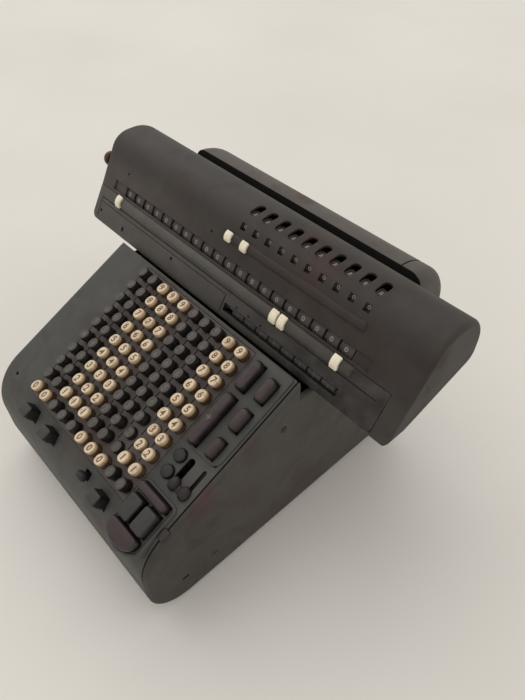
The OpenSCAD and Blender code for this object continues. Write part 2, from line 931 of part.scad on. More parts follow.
module right_side_cover() {
    skin = 2.2;
    color(body_color)
        at_origin()
            difference() {
                along_x(cover_x, body_right)
                    body_profile();
                along_x(cover_x - cut, body_right - skin)
                    body_profile(wall);
                for (s = side_screws)
                    rod(s, screw_r + lay_gap, cover_x - cut, body_right + cut);
            }
}

module cover_fasteners() {
    color(metal_color)
        at_origin() {
            for (s = side_screws)
                difference() {
                    union() {
                        rod(s, screw_head_r, body_right, body_right + screw_head_h);
                        rod(s, screw_r, body_right - 6, body_right + 0.2);
                    }
                    translate([body_right + 0.5, s[0] - 0.5, s[1] - screw_head_r])
                        cube([screw_head_h, 1, 2 * screw_head_r]);
                }
            difference() {
                on_deck()
                    box(pan_right + 0.8, body_right - 1.2, catch_v, catch_v + catch_l, -4, catch_h);
                along_x(pan_right, body_right + cut)
                    body_profile(-lay_gap);
            }
        }
}

module key_plate() {
    slit_w = 1;
    slit_l = 7;
    color(body_color)
        at_origin()
            difference() {
                intersection() {
                    key_window(0, -plate_sink, plate_sink);
                    along_x(plate_left - cut, plate_right + cut)
                        difference() {
                            body_profile();
                            body_profile(plate_t - lay_gap);
                        }
                }
                on_deck() {
                    for (c = [1 : columns]) {
                        for (r = [1 : rows])
                            translate([key_x(c), key_v(r), -5])
                                cylinder(d = key_barrel_d + 2 * key_gap, h = 8);
                        translate([key_x(c), -zero_setback, -5])
                            cylinder(d = key_barrel_d + 2 * key_gap, h = 8);
                    }
                    for (c = [1 : columns - 1], r = [1 : rows - 1])
                        translate([key_x(c) + col_pitch / 2, key_v(r) + row_pitch / 2, 0])
                            cube([slit_w, slit_l, 2 * plate_sink], center = true);
                }
            }
}

module control_plate() {
    color(body_color)
        at_origin()
            on_deck()
                difference() {
                    linear_extrude(height = control_t)
                        rounded_rect(control_left, control_right, control_front, control_back, control_r);
                    for (k = control_keys)
                        translate([k[0], k[1], 0])
                            skirt(k[2], k[3], bar_flare, key_gap, -cut, control_t + cut);
                }
}

// Pan seen square to the deck, moved in by i: straight sides and a round front
module pan_outline(i) {
    r = control_r - i;
    intersection() {
        rounded_rect(pan_left + i, pan_right - i, pan_front - control_r, pan_back - i, r);
        union() {
            translate([pan_mid, pan_arc_v])
                circle(pan_arc_r - i);
            translate([pan_left, pan_arc_v])
                square([pan_right - pan_left, pan_back - pan_arc_v]);
        }
    }
}

module cluster_pan() {
    color(body_color)
        at_origin()
            difference() {
                on_deck()
                    translate([0, 0, pan_under])
                        linear_extrude(height = pan_h - pan_under)
                            pan_outline(0);
                along_x(pan_left - cut, pan_right + cut)
                    body_profile(-lay_gap);
                on_deck()
                    translate([0, 0, pan_under - cut])
                        linear_extrude(height = cut - pan_under + pan_h - pan_wall)
                            pan_outline(pan_wall);
                for (k = [rear_bar, left_key, right_key])
                    cluster_hole(k);
                intersection() {
                    cluster_hole(front_bar);
                    bar_room(key_gap);
                }
                box(pan_left - cut, pan_right + cut, -nose_r, nose_r, 0, pan_low_z);
            }
}

module cluster_hole(spec) {
    on_deck()
        translate([spec[0], spec[1], 0])
            skirt(spec[2], spec[3], cluster_flare, key_gap, pan_under, pan_h + cut);
}

module key_guide_plate() {
    color(metal_color)
        at_origin()
            on_deck()
                difference() {
                    box(frame_x1, frame_x2, front_bar[1] - 4, back_v - 3, guide_w, guide_w + guide_t);
                    for (c = [1 : columns], r = [0 : rows])
                        stem_hole(key_x(c), r == 0 ? -zero_setback : key_v(r));
                    for (k = concat(control_keys, cluster_keys, buttons))
                        stem_hole(k[0], k[1]);
                }
}

module stem_hole(x, v) {
    translate([x, v, guide_w + guide_t / 2])
        cube([stem_w + 2 * key_gap, stem_t + 2 * key_gap, guide_t + 2 * cut], center = true);
}

// Rear cover outline in (y, z), moved in by i
module barrel_profile(i) {
    intersection() {
        union() {
            translate([barrel_y, barrel_z])
                circle(barrel_r - i);
            translate([barrel_y, rear_floor + i])
                square([barrel_r - i, barrel_drop - i]);
        }
        translate([rear_front + i, rear_floor + i])
            square([barrel_r, barrel_drop + barrel_r]);
    }
}

module rear_ends(i) {
    r = rear_end_r - i;
    intersection() {
        translate([0, 0, rear_floor - 2 * rear_end_r])
            linear_extrude(height = barrel_drop + 2 * barrel_r)
                rounded_rect(rear_left + i, rear_right - i, rear_front - 3 * rear_end_r, rear_y - i, r);
        translate([0, rear_y + cut, 0])
            rotate([90, 0, 0])
                linear_extrude(height = 2 * barrel_r)
                    rounded_rect(rear_left + i, rear_right - i, rear_floor - 3 * rear_end_r,
                                 barrel_z + barrel_r - i, r);
    }
}

module rear_shell(x0, x1, in0, in1) {
    difference() {
        intersection() {
            along_x(x0, x1)
                barrel_profile(0);
            rear_ends(0);
        }
        intersection() {
            along_x(in0, in1)
                barrel_profile(rear_wall);
            rear_ends(rear_wall);
        }
    }
}

module rear_cover() {
    color(body_color)
        at_origin()
            rear_shell(rear_left, rear_seam, rear_left + rear_wall, rear_seam + cut);
}

module rear_end_cap() {
    color(body_color)
        at_origin()
            rear_shell(rear_seam + seam, rear_right, rear_seam - cut, rear_right - rear_wall);
}

module carriage_rails() {
    hub = 7;
    color(metal_color)
        at_origin()
            difference() {
                union() {
                    box(frame_x1, frame_x2, rail_front_y, rail_front_y + rail_w, rail_seat, rail_front_top);
                    box(frame_x1, frame_x2, rail_rear_y, rail_rear_y + rail_w, rail_seat, rail_rear_top);
                    box(-hub, hub, shift_bracket_y, rail_rear_y + cut, shift_z - hub, shift_z + hub);
                }
                translate([0, shift_bracket_y - cut, shift_z])
                    rotate([-90, 0, 0])
                        cylinder(r = shift_shaft_r + run_gap, h = rail_rear_y - shift_bracket_y);
            }
}

// Drive

module drive_motor() {
    bell = 6;
    foot_w = 44;
    color(dark_color)
        at_origin()
            difference() {
                union() {
                    rod(motor_axis, motor_r, motor_x1 + bell, motor_x2 - bell);
                    rod(motor_axis, motor_r - 5, motor_x1, motor_x2);
                    box(motor_x1 + 14, motor_x2 - 14, motor_axis[0] - foot_w / 2, motor_axis[0] + foot_w / 2,
                        tray_top, motor_axis[1]);
                }
                rod(motor_axis, motor_shaft_r + run_gap, motor_x2 - motor_shaft_in, motor_x2 + cut);
            }
}

module motor_pinion() {
    color(brass_color)
        at_origin() {
            rod(motor_axis, motor_shaft_r, motor_x2 - motor_shaft_in + seat_gap, gear_x + gear_w + 2);
            translate([0, motor_axis[0], motor_axis[1]])
                along_x(gear_x, gear_x + gear_w)
                    rotate(mesh_angle + 180 + 180 / pinion_teeth)
                        gear_2d(pinion_teeth, gear_m);
        }
}

module drum_shaft() {
    color(metal_color)
        at_origin() {
            rod(drum_axis, drum_shaft_r, frame_x1, frame_x2);
            translate([0, drum_axis[0], drum_axis[1]]) {
                along_x(gear_x, gear_x + gear_w)
                    rotate(mesh_angle)
                        gear_2d(drum_teeth, gear_m);
                for (c = [1 : columns])
                    along_x(key_x(c) - stepped_w / 2, key_x(c) + stepped_w / 2)
                        gear_2d(stepped_teeth, stepped_m);
            }
        }
}

module shift_pinion() {
    color(brass_color)
        at_origin()
            translate([0, rack_y, shift_z])
                rotate([-90, 0, 0]) {
                    linear_extrude(height = rack_w)
                        rotate(-90)
                            gear_2d(shift_teeth, rack_m);
                    cylinder(r = shift_shaft_r, h = rail_rear_y - rack_y - 3);
                }
}

// Carriage

// Carriage outline in (y, z), moved in by i; open_below carries it down through the belly
module carriage_profile(i, open_below) {
    low_u = open_below ? -face_low - 20 : -face_low;
    rear_low = rear_c + (rear_r - i) * [sin(belly_slope), -cos(belly_slope)];
    translate(shoulder)
        circle(shoulder_r - i);
    translate(back_c)
        intersection() {
            circle(back_r - i);
            square(back_r);
        }
    translate(rear_c)
        circle(rear_r - i);
    polygon(concat(
        [
            face_pt(low_u, face_h - i),
            face_pt(face_high, face_h - i),
            [shoulder[0], top_z - i],
            [back_c[0], top_z - i],
            [back_c[0] + back_r - i, back_c[1]],
            [rear_c[0] + rear_r - i, rear_c[1]],
            rear_low
        ],
        open_below
            ? [[rear_c[0], rear_low[1]], [rear_c[0], chin[1] - 15]]
            : [belly]
    ));
}

// Rounds the carriage's ends, seen from the front and from above
module carriage_ends(i) {
    r = end_r - i;
    far = 3 * end_r;
    intersection() {
        translate([0, carriage_back + cut, 0])
            rotate([90, 0, 0])
                linear_extrude(height = carriage_back - chin[0] + far)
                    rounded_rect(carriage_left + i, carriage_right - i, chin[1] - far, top_z - i, r);
        translate([0, 0, chin[1] - far])
            linear_extrude(height = top_z - chin[1] + 2 * far)
                rounded_rect(carriage_left + i, carriage_right - i, chin[0] - far, carriage_back - i, r);
    }
}

module carriage_cover() {
    boss_r = 5;
    boss_l = 8;
    color(body_color)
        at_origin()
            difference() {
                union() {
                    difference() {
                        intersection() {
                            along_x(carriage_left, carriage_right)
                                carriage_profile(0, false);
                            carriage_ends(0);
                        }
                        intersection() {
                            along_x(carriage_left + carriage_wall, carriage_right - carriage_wall)
                                carriage_profile(carriage_wall, true);
                            carriage_ends(carriage_wall);
                        }
                    }
                    rod(knob_axis, boss_r, carriage_left + 1, carriage_left + boss_l);
                    marker_rail(upper_rail_u, upper_rail_r, upper_rail_proud,
                                upper_rail_left, upper_rail_right, face_h);
                }
                on_face() {
                    box(slot_left, slot_right, slot_low, slot_high, -12, 6);
                    box(panel_left - seam, panel_right + seam, panel_low - 4, panel_high + seam,
                        panel_back - lay_gap, 8);
                    box(check_left, check_right, check_u - 4, check_u + 3.6, -8, 6);
                    for (n = [upper_first : lower_count - 1])
                        box(dial_x(n) - window_w / 2, dial_x(n) + window_w / 2,
                            window_u - window_l / 2, window_u + window_l / 2, -8, 6);
                }
                for (n = [upper_first : lower_count - 1])
                    wheel_slot(dial_x(n) - wheel_slot_w / 2, dial_x(n) + wheel_slot_w / 2);
                box(trough_left, trough_right, trough_back - trough_channel, trough_back,
                    upper_axis[1] + 4, top_z + cut);
                rod(knob_axis, shaft_r + run_gap, carriage_left - cut, carriage_left + boss_l + cut);
            }
}

// Room for an upper dial, and the slot from above through which a thumb turns it
module wheel_slot(x0, x1) {
    rod(upper_axis, dial_r + key_gap, x0, x1);
    box(x0, x1, trough_front, trough_back, upper_axis[1] + 4, top_z + cut);
}

// Half-round rail that stands proud of the dial face at height base
module marker_rail(u, r, proud, x0, x1, base) {
    on_face()
        intersection() {
            translate([x0, u, base + proud - r])
                rotate([0, 90, 0])
                    cylinder(r = r, h = x1 - x0);
            box(x0 - cut, x1 + cut, u - r, u + r, base - rail_root, base + r);
        }
}

// Clip that rides over a marker rail
module marker(x, u, r, proud, base) {
    on_face()
        intersection() {
            translate([x - mark_w / 2, u, base + proud - r])
                rotate([0, 90, 0])
                    difference() {
                        cylinder(r = r + seat_gap + mark_t, h = mark_w);
                        translate([0, 0, -cut])
                            cylinder(r = r + seat_gap, h = mark_w + 2 * cut);
                    }
            box(x - mark_w, x + mark_w, u - 2 * r, u + 2 * r, base + seat_gap, base + 2 * r);
        }
}

module lower_markers() {
    color(ivory_color)
        at_origin()
            for (x = lower_marks)
                marker(x, lower_rail_u, lower_rail_r, lower_rail_proud, panel_face);
}

module upper_markers() {
    color(ivory_color)
        at_origin()
            for (x = upper_marks)
                marker(x, upper_rail_u, upper_rail_r, upper_rail_proud, face_h);
}

module carriage_front_panel() {
    color(body_color)
        at_origin()
            difference() {
                union() {
                    on_face()
                        box(panel_left, panel_right, panel_low, panel_high, panel_back, panel_face);
                    marker_rail(lower_rail_u, lower_rail_r, lower_rail_proud,
                                lower_rail_left, lower_rail_right, panel_face);
                }
                on_face()
                    box(check_left, check_right, check_u - 4, check_u + 3.6, -4, 8);
            }
}

// Channel that runs over a rail from above
module rail_shoe(y, top) {
    difference() {
        box(shoe_left, shoe_right, y - shoe_wall - rail_gap, y + rail_w + shoe_wall + rail_gap,
            top - 4, belly_z(y + rail_w / 2) + floor_t / 2);
        box(shoe_left - cut, shoe_right + cut, y - rail_gap, y + rail_w + rail_gap, top - 5, top + rail_gap);
    }
}

module carriage_rack() {
    left = -travel_right - 4 * rack_p;
    teeth = ceil((travel_left + travel_right + 8 * rack_p) / rack_p);
    start = floor(left / rack_p);
    translate([0, rack_y + rack_w, 0])
        rotate([90, 0, 0])
            linear_extrude(height = rack_w) {
                translate([start * rack_p, rack_pitch_z + 1.15 * rack_m])
                    square([teeth * rack_p, belly_z(rack_y) + 1 - rack_pitch_z]);
                for (i = [start : start + teeth - 1])
                    translate([(i + 0.5) * rack_p, rack_pitch_z])
                        polygon([
                            [-0.12 * rack_p, -0.8 * rack_m],
                            [0.12 * rack_p, -0.8 * rack_m],
                            [0.27 * rack_p, 1.15 * rack_m + 0.1],
                            [-0.27 * rack_p, 1.15 * rack_m + 0.1]
                        ]);
            }
}

module carriage_frame() {
    x0 = carriage_left + carriage_wall + seat_gap;
    x1 = carriage_right - carriage_wall - seat_gap;
    lift = 0.4;
    f0 = [floor_front, belly_z(floor_front) + lift];
    f1 = [belly[0], belly[1] + lift];
    f2 = [floor_back, belly_z(floor_back) + lift];
    up = [0, floor_t];
    tall = [f1 + up / 2, f2 + up / 2, rear_c + [0, 8], upper_axis + [7, 6], upper_axis + [-6, 6],
            lower_axis + [-8, 6], lower_axis + [-10, -8]];
    post = [[lower_axis[0] + dial_r + 6, belly_z(lower_axis[0] + dial_r + 6) + lift + 1],
            [lower_axis[0] + dial_r + 26, belly_z(lower_axis[0] + dial_r + 26) + lift + 1],
            upper_axis + [10, 6], upper_axis + [-7, 6]];
    low = [f1 + [2, floor_t / 2], f0 + [0, floor_t / 2], check_axis + [-3, -3], check_axis + [-2.4, 2.2],
           check_axis + [3, 4], f1 + [2, 8]];
    color(metal_color)
        at_origin()
            difference() {
                union() {
                    along_x(x0, x1)
                        polygon([f0, f1, f2, f2 + up, f1 + up, f0 + up]);
                    along_x(left_bracket, left_bracket + bracket_t)
                        polygon(tall);
                    along_x(right_bracket, right_bracket + bracket_t)
                        polygon(tall);
                    along_x(upper_post, upper_post + bracket_t)
                        polygon(post);
                    for (x = [check_post, right_bracket])
                        along_x(x, x + bracket_t)
                            polygon(low);
                    rail_shoe(rail_front_y, rail_front_top);
                    rail_shoe(rail_rear_y, rail_rear_top);
                    carriage_rack();
                }
                shaft_set();
            }
}

// The three shafts of the dials, held in the brackets
module shaft_set() {
    rod(lower_axis, shaft_r, left_bracket, right_bracket + bracket_t);
    rod(upper_axis, shaft_r, upper_post, right_bracket + bracket_t);
    rod(check_axis, check_shaft_r, check_post, right_bracket + bracket_t);
}

module dial_shafts() {
    color(metal_color)
        at_origin()
            shaft_set();
}

module dial(axis, r, w, bore, x) {
    difference() {
        rod(axis, r, x - w / 2, x + w / 2);
        rod(axis, bore, x - w, x + w);
    }
}

module lower_dials() {
    color(dark_color)
        at_origin()
            for (n = [0 : lower_count - 1])
                dial(lower_axis, dial_r, lower_dial_w, shaft_r + run_gap, dial_x(n));
}

module upper_dials() {
    color(dark_color)
        at_origin()
            for (n = [upper_first : lower_count - 1])
                dial(upper_axis, dial_r, upper_dial_w, shaft_r + run_gap, dial_x(n));
}

module check_dials() {
    color(dark_color)
        at_origin()
            for (n = [check_first : lower_count - 1])
                dial(check_axis, check_r, check_dial_w, check_shaft_r + run_gap, dial_x(n));
}

module clear_knob() {
    shaft_in = 6;
    color(red_color)
        at_origin()
            translate([carriage_left, knob_axis[0], knob_axis[1]])
                rotate([0, -90, 0]) {
                    translate([0, 0, -shaft_in])
                        cylinder(r = shaft_r, h = shaft_in + 1);
                    intersection() {
                        translate([0, 0, knob_len - knob_r])
                            sphere(r = knob_r);
                        translate([-knob_r, -knob_r, seat_gap])
                            cube(2 * knob_r + knob_len);
                    }
                }
}

module slider_lever() {
    left = slot_x[0] - slot_w[0] / 2 - 0.4;
    right = slot_x[1] + 4;
    lobe_r = slider_len / 2;
    color(red_color)
        at_origin()
            on_deck() {
                translate([0, 0, seat_gap])
                    linear_extrude(height = slider_t)
                        rounded_rect(left, right, slider_front, slider_front + slider_len, lobe_r - 1);
                for (k = [0, 1])
                    box(slot_x[k] - slot_w[k] / 2 + key_gap, slot_x[k] + slot_w[k] / 2 - key_gap,
                        slot_front + key_gap, slot_front + key_gap + tongue_len, -tongue_depth, seat_gap + 1);
            }
}

// Pieces named after their place

module zero_keys_ivory() {
    color(ivory_color)
        zero_keys(true);
}

module zero_keys_dark() {
    color(dark_color)
        zero_keys(false);
}

module upper_motor_key() {
    color(maroon_color)
        at_origin()
            control_key(upper_motor);
}

module plus_bar() {
    color(maroon_color)
        at_origin()
            control_key(plus);
}

module upper_side_key() {
    color(maroon_color)
        at_origin()
            control_key(upper_side);
}

module middle_side_key() {
    color(maroon_color)
        at_origin()
            control_key(middle_side);
}

module lower_side_key() {
    color(maroon_color)
        at_origin()
            control_key(lower_side);
}

module round_button_rear() {
    color(dark_color)
        at_origin()
            round_button(buttons[0]);
}

module round_button_front() {
    color(dark_color)
        at_origin()
            round_button(buttons[1]);
}

module cluster_rear_bar() {
    color(maroon_color)
        at_origin()
            cluster_key(rear_bar);
}

module cluster_front_bar() {
    color(maroon_color)
        at_origin()
            intersection() {
                cluster_key(front_bar);
                bar_room(0);
            }
}

module cluster_left_key() {
    color(dark_color)
        at_origin()
            cluster_key(left_key);
}

module cluster_right_key() {
    color(dark_color)
        at_origin()
            cluster_key(right_key);
}

module square_key_1() {
    color(dark_color)
        at_origin()
            square_key(squares[0]);
}

module square_key_2() {
    color(dark_color)
        at_origin()
            square_key(squares[1]);
}

module square_key_3() {
    color(dark_color)
        at_origin()
            square_key(squares[2]);
}

base_tray();
rubber_feet();
left_frame();
right_frame();
main_housing();
right_side_cover();
key_plate();
control_plate();
cluster_pan();
key_guide_plate();
rear_cover();
rear_end_cap();
carriage_rails();
cover_fasteners();
shaft_bushes();
drive_motor();
power_inlet();
motor_pinion();
drum_shaft();
shift_pinion();
carriage_cover();
carriage_front_panel();
carriage_frame();
dial_shafts();
lower_dials();
upper_dials();
check_dials();
clear_knob();
lower_markers();
upper_markers();
key_column(1);  // key_column_1
key_column(2);  // key_column_2
key_column(3);  // key_column_3
key_column(4);  // key_column_4
key_column(5);  // key_column_5
key_column(6);  // key_column_6
key_column(7);  // key_column_7
key_column(8);  // key_column_8
key_column(9);  // key_column_9
key_column(10);  // key_column_10
latched_keys(8);  // latched_keys_8
latched_keys(9);  // latched_keys_9
zero_keys_ivory();
zero_keys_dark();
upper_motor_key();
plus_bar();
upper_side_key();
middle_side_key();
lower_side_key();
round_button_rear();
round_button_front();
cluster_rear_bar();
cluster_front_bar();
cluster_left_key();
cluster_right_key();
square_key_1();
square_key_2();
square_key_3();
toggle_lever();
slider_lever();
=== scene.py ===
import json
import math
import bmesh
import bpy
from mathutils import Matrix, Vector


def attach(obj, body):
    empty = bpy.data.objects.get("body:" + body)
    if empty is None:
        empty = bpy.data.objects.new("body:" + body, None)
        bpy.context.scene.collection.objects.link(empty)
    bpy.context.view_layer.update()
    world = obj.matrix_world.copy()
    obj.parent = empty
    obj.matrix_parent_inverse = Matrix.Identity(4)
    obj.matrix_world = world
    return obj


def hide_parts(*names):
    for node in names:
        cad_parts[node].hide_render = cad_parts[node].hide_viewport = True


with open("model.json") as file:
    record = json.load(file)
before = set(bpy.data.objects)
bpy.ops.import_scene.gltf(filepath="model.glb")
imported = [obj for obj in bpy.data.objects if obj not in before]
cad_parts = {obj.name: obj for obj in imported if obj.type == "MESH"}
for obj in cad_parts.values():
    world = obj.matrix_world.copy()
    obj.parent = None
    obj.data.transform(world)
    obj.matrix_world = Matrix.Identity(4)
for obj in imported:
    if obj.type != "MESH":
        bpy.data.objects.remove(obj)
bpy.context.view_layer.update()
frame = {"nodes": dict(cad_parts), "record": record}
NODES = frame["nodes"]
BODY_OF = {n: b for b, ns in frame["record"]["behaviour"]["bodies"].items() for n in ns}

# Frames of the machine, in millimetres: body, sloped deck, nose and dial face
MM = 0.001
MID = (2.4, -167.99606)
SLOPE = math.radians(25.55)
FACE_ANGLE = math.radians(57.6)
ROW1 = (45.7, 130.8)
NOSE_C, NOSE_R = (55.0, 74.28), 55.0
LOW_C, LOW_R = (40.0, 43.0), 40.0
FACE_O = (207.396, 223.06)
FOOT = 3.0
EDGE = (174.896, 192.56)
SIDE_TOP = 176.0
BODY_BACK = 325.9
BODY_X = (-132.0, 127.2)
COVER_X = (127.6, 132.8)


def turned(y, z, angle):
    place = Matrix.Translation((MID[0] * MM, (y + MID[1]) * MM, z * MM))
    return place @ Matrix.Rotation(angle, 4, "X") @ Matrix.Scale(MM, 4)


BODY = turned(0, 0, 0)
DECK = turned(ROW1[0], ROW1[1], SLOPE)
FACE = turned(FACE_O[0], FACE_O[1], FACE_ANGLE)


def nose(arc):
    return turned(NOSE_C[0], NOSE_C[1], SLOPE + arc / NOSE_R) @ Matrix.Translation((0, 0, NOSE_R))


DECK_END = -15.9906


def nose_w(v):
    """Height of the nose over the plane of the deck, in front of the flat part's end."""
    return math.sqrt(NOSE_R ** 2 - (v - DECK_END) ** 2) - NOSE_R


def face_pt(u, h):
    c, s = math.cos(FACE_ANGLE), math.sin(FACE_ANGLE)
    return (FACE_O[0] + u * c - h * s, FACE_O[1] + u * s + h * c)


# Camera of the photograph
camera = bpy.data.objects.new("camera", bpy.data.cameras.new("camera"))
bpy.context.scene.collection.objects.link(camera)
camera.location = BODY @ Vector((335.0, -55.6994, 560.7))
camera.rotation_euler = Vector((-0.5034, 0.4624, -0.7299)).to_track_quat("-Z", "Y").to_euler()
camera.data.sensor_fit = "AUTO"
camera.data.sensor_width = 36.0
camera.data.lens = 585.0 / 700.0 * 36.0
camera.data.clip_start = 0.01
bpy.context.scene.camera = camera
bpy.context.scene.view_settings.view_transform = "Standard"


# Materials

def rgb(r, g, b):
    lin = [c / 12.92 if c <= 0.04045 else ((c + 0.055) / 1.055) ** 2.4 for c in (r / 255, g / 255, b / 255)]
    return (lin[0], lin[1], lin[2], 1.0)


class Paint:
    """A Principled material with helpers for its procedural nodes."""

    def __init__(self, name):
        self.m = bpy.data.materials.new(name)
        self.m.use_nodes = True
        self.t = self.m.node_tree
        self.b = self.t.nodes["Principled BSDF"]
        self.co = self.t.nodes.new("ShaderNodeTexCoord").outputs["Object"]

    def link(self, a, b):
        self.t.links.new(a, b)

    def put(self, value, socket):
        if hasattr(value, "is_linked"):
            self.link(value, socket)
        else:
            socket.default_value = value

    def noise(self, scale, detail=4.0, rough=0.55, warp=0.0):
        n = self.t.nodes.new("ShaderNodeTexNoise")
        n.inputs["Scale"].default_value = scale
        n.inputs["Detail"].default_value = detail
        n.inputs["Roughness"].default_value = rough
        n.inputs["Distortion"].default_value = warp
        self.link(self.co, n.inputs["Vector"])
        return n.outputs["Fac"]

    def ramp(self, fac, *stops):
        n = self.t.nodes.new("ShaderNodeValToRGB")
        e = n.color_ramp.elements
        while len(e) < len(stops):
            e.new(0.5)
        for k, (pos, col) in enumerate(stops):
            e[k].position = pos
            e[k].color = col if not isinstance(col, (int, float)) else (col, col, col, 1.0)
        self.link(fac, n.inputs["Fac"])
        return n.outputs["Color"]

    def mix(self, fac, a, b, mode="MIX"):
        n = self.t.nodes.new("ShaderNodeMix")
        n.data_type = "RGBA"
        n.blend_type = mode
        self.put(fac, n.inputs[0])
        self.put(a, n.inputs[6])
        self.put(b, n.inputs[7])
        return n.outputs[2]

    def calc(self, op, a, b, clamp=False):
        n = self.t.nodes.new("ShaderNodeMath")
        n.operation = op
        n.use_clamp = clamp
        self.put(a, n.inputs[0])
        self.put(b, n.inputs[1])
        return n.outputs[0]

    def zone(self, axis, a, b, c, d):
        """Mask along one axis in metres: rises from a to b, falls from c to d."""
        split = self.t.nodes.new("ShaderNodeSeparateXYZ")
        self.link(self.co, split.inputs[0])
        out = []
        for lo, hi in ((a, b), (d, c)):
            n = self.t.nodes.new("ShaderNodeMapRange")
            n.inputs["From Min"].default_value = lo
            n.inputs["From Max"].default_value = hi
            self.link(split.outputs[axis], n.inputs["Value"])
            out.append(n.outputs["Result"])
        return self.calc("MULTIPLY", out[0], out[1])

    # Per-vertex value from 0 at the top to 1 at the foot of a piece, which darkens its colour: painted shade with
    # soiling.
    def age(self):
        n = self.t.nodes.new("ShaderNodeAttribute")
        n.attribute_name = "age"
        return n.outputs["Fac"]

    def edges(self, radius):
        """Mask of the sharp edges, and the normal that rounds them."""
        bev = self.t.nodes.new("ShaderNodeBevel")
        bev.samples = 4
        bev.inputs["Radius"].default_value = radius
        geo = self.t.nodes.new("ShaderNodeNewGeometry")
        dot = self.t.nodes.new("ShaderNodeVectorMath")
        dot.operation = "DOT_PRODUCT"
        self.link(bev.outputs["Normal"], dot.inputs[0])
        self.link(geo.outputs["Normal"], dot.inputs[1])
        return self.calc("SUBTRACT", 1.0, dot.outputs["Value"], True), bev.outputs["Normal"]

    def bump(self, height, strength, distance, normal=None):
        n = self.t.nodes.new("ShaderNodeBump")
        n.inputs["Strength"].default_value = strength
        n.inputs["Distance"].default_value = distance
        self.link(height, n.inputs["Height"])
        if normal:
            self.link(normal, n.inputs["Normal"])
        return n.outputs["Normal"]

    def done(self, color, rough, normal=None, metallic=0.0, specular=0.5):
        self.put(color, self.b.inputs["Base Color"])
        self.put(rough, self.b.inputs["Roughness"])
        self.b.inputs["Metallic"].default_value = metallic
        self.b.inputs["Specular IOR Level"].default_value = specular
        if normal:
            self.link(normal, self.b.inputs["Normal"])
        return self.m


def enamel(name, base, brown, dirt=1.0, stains_and_painted_shade=()):
    """Stove enamel with broad brown, rubbed places, specks and worn edges; the extra marks are (colour, amount,
    zones), some of them real stains and some painted shade over a zone.
    """
    p = Paint(name)
    broad = p.ramp(p.noise(7, 5, 0.6, 0.4), (0.40, 0.0), (0.68, 1.0))
    smudge = p.ramp(p.noise(24, 8, 0.62, 0.6), (0.50, 0.0), (0.66, 1.0))
    rub = p.calc("MULTIPLY", smudge, p.ramp(p.noise(11, 3, 0.5), (0.42, 0.0), (0.62, 1.0)), True)
    speck = p.ramp(p.noise(330, 3, 0.6), (0.66, 0.0), (0.74, 1.0))
    col = p.mix(p.calc("MULTIPLY", broad, 0.55 * dirt), base, brown)
    col = p.mix(p.calc("MULTIPLY", rub, 0.75 * dirt), col, rgb(74, 53, 49))
    col = p.mix(p.calc("MULTIPLY", speck, 0.30), col, rgb(44, 40, 37))
    # Each extra mark lays its colour over its zones: real stains, and on the dial panel and its rail painted
    # shade.
    for tint, amount, zones in stains_and_painted_shade:
        mask = p.calc("MULTIPLY", amount, p.ramp(p.noise(40, 5, 0.6, 0.3), (0.30, 0.45), (0.62, 1.0)))
        for z in zones:
            mask = p.calc("MULTIPLY", mask, p.zone(*z))
        col = p.mix(mask, col, tint)
    tone = p.ramp(p.noise(60, 6, 0.6), (0.3, 0.88), (0.7, 1.08))
    col = p.mix(1.0, col, tone, "MULTIPLY")
    edge, normal = p.edges(0.0011)
    worn = p.calc("MULTIPLY", p.ramp(edge, (0.02, 0.0), (0.25, 1.0)),
                  p.ramp(p.noise(85, 5, 0.6), (0.46, 0.0), (0.62, 1.0)), True)
    col = p.mix(p.calc("MULTIPLY", worn, 0.6), col, rgb(112, 104, 94))
    rough = p.calc("ADD", 0.58, p.calc("MULTIPLY", smudge, 0.14))
    grain = p.calc("ADD", p.noise(1500, 2, 0.5), p.calc("MULTIPLY", p.noise(210, 4, 0.6), 0.7))
    return p.done(col, rough, p.bump(grain, 0.16, 0.0003, normal), specular=0.3)


def plastic(name, top, side, foot, rough=0.42, stain=rgb(110, 84, 58), stained=0.5, span=(0.18, 0.5, 0.8)):
    """Key plastic: the colour darkens from the top of the cap down its sides to the foot, painted shade on the
    sides with soiling at the foot.
    """
    p = Paint(name)
    age = p.age()
    # Top colour, then darker side and foot colours: painted shade down the sides, with soiling at the foot.
    col = p.ramp(age, (0.0, top), (span[0], top), (span[1], side), (span[2], foot))
    blot = p.ramp(p.noise(190, 5, 0.6, 0.3), (0.47, 0.0), (0.70, 1.0))
    col = p.mix(p.calc("MULTIPLY", blot, stained), col, stain)
    rim = p.ramp(age, (0.02, 0.0), (0.10, 1.0), (0.2, 0.0))
    col = p.mix(p.calc("MULTIPLY", rim, 0.35 * stained), col, stain)
    grit = p.noise(900, 3, 0.6)
    r = p.calc("ADD", rough, p.calc("MULTIPLY", blot, 0.16))
    return p.done(col, r, p.bump(grit, 0.12, 0.00015), specular=0.4)


def metal(name, color, dull, rough, metallic=0.85):
    p = Paint(name)
    cloud = p.ramp(p.noise(35, 6, 0.6, 0.2), (0.38, 0.0), (0.68, 1.0))
    lines = p.noise(420, 4, 0.6)
    edge, normal = p.edges(0.0005)
    col = p.mix(cloud, color, dull)
    col = p.mix(p.calc("MULTIPLY", edge, 0.5, True), col, rgb(190, 186, 178))
    r = p.calc("ADD", rough, p.calc("MULTIPLY", cloud, 0.2))
    return p.done(col, r, p.bump(lines, 0.15, 0.0002, normal), metallic=metallic)


def flat_paint(name, color, dust, rough, amount=0.4, scale=160):
    p = Paint(name)
    blot = p.ramp(p.noise(scale, 5, 0.62, 0.3), (0.45, 0.0), (0.72, 1.0))
    col = p.mix(p.calc("MULTIPLY", blot, amount), color, dust)
    edge, normal = p.edges(0.0004)
    col = p.mix(p.calc("MULTIPLY", edge, 0.4, True), col, dust)
    grit = p.noise(1100, 3, 0.6)
    return p.done(col, p.calc("ADD", rough, p.calc("MULTIPLY", blot, 0.15)), p.bump(grit, 0.15, 0.0002, normal))
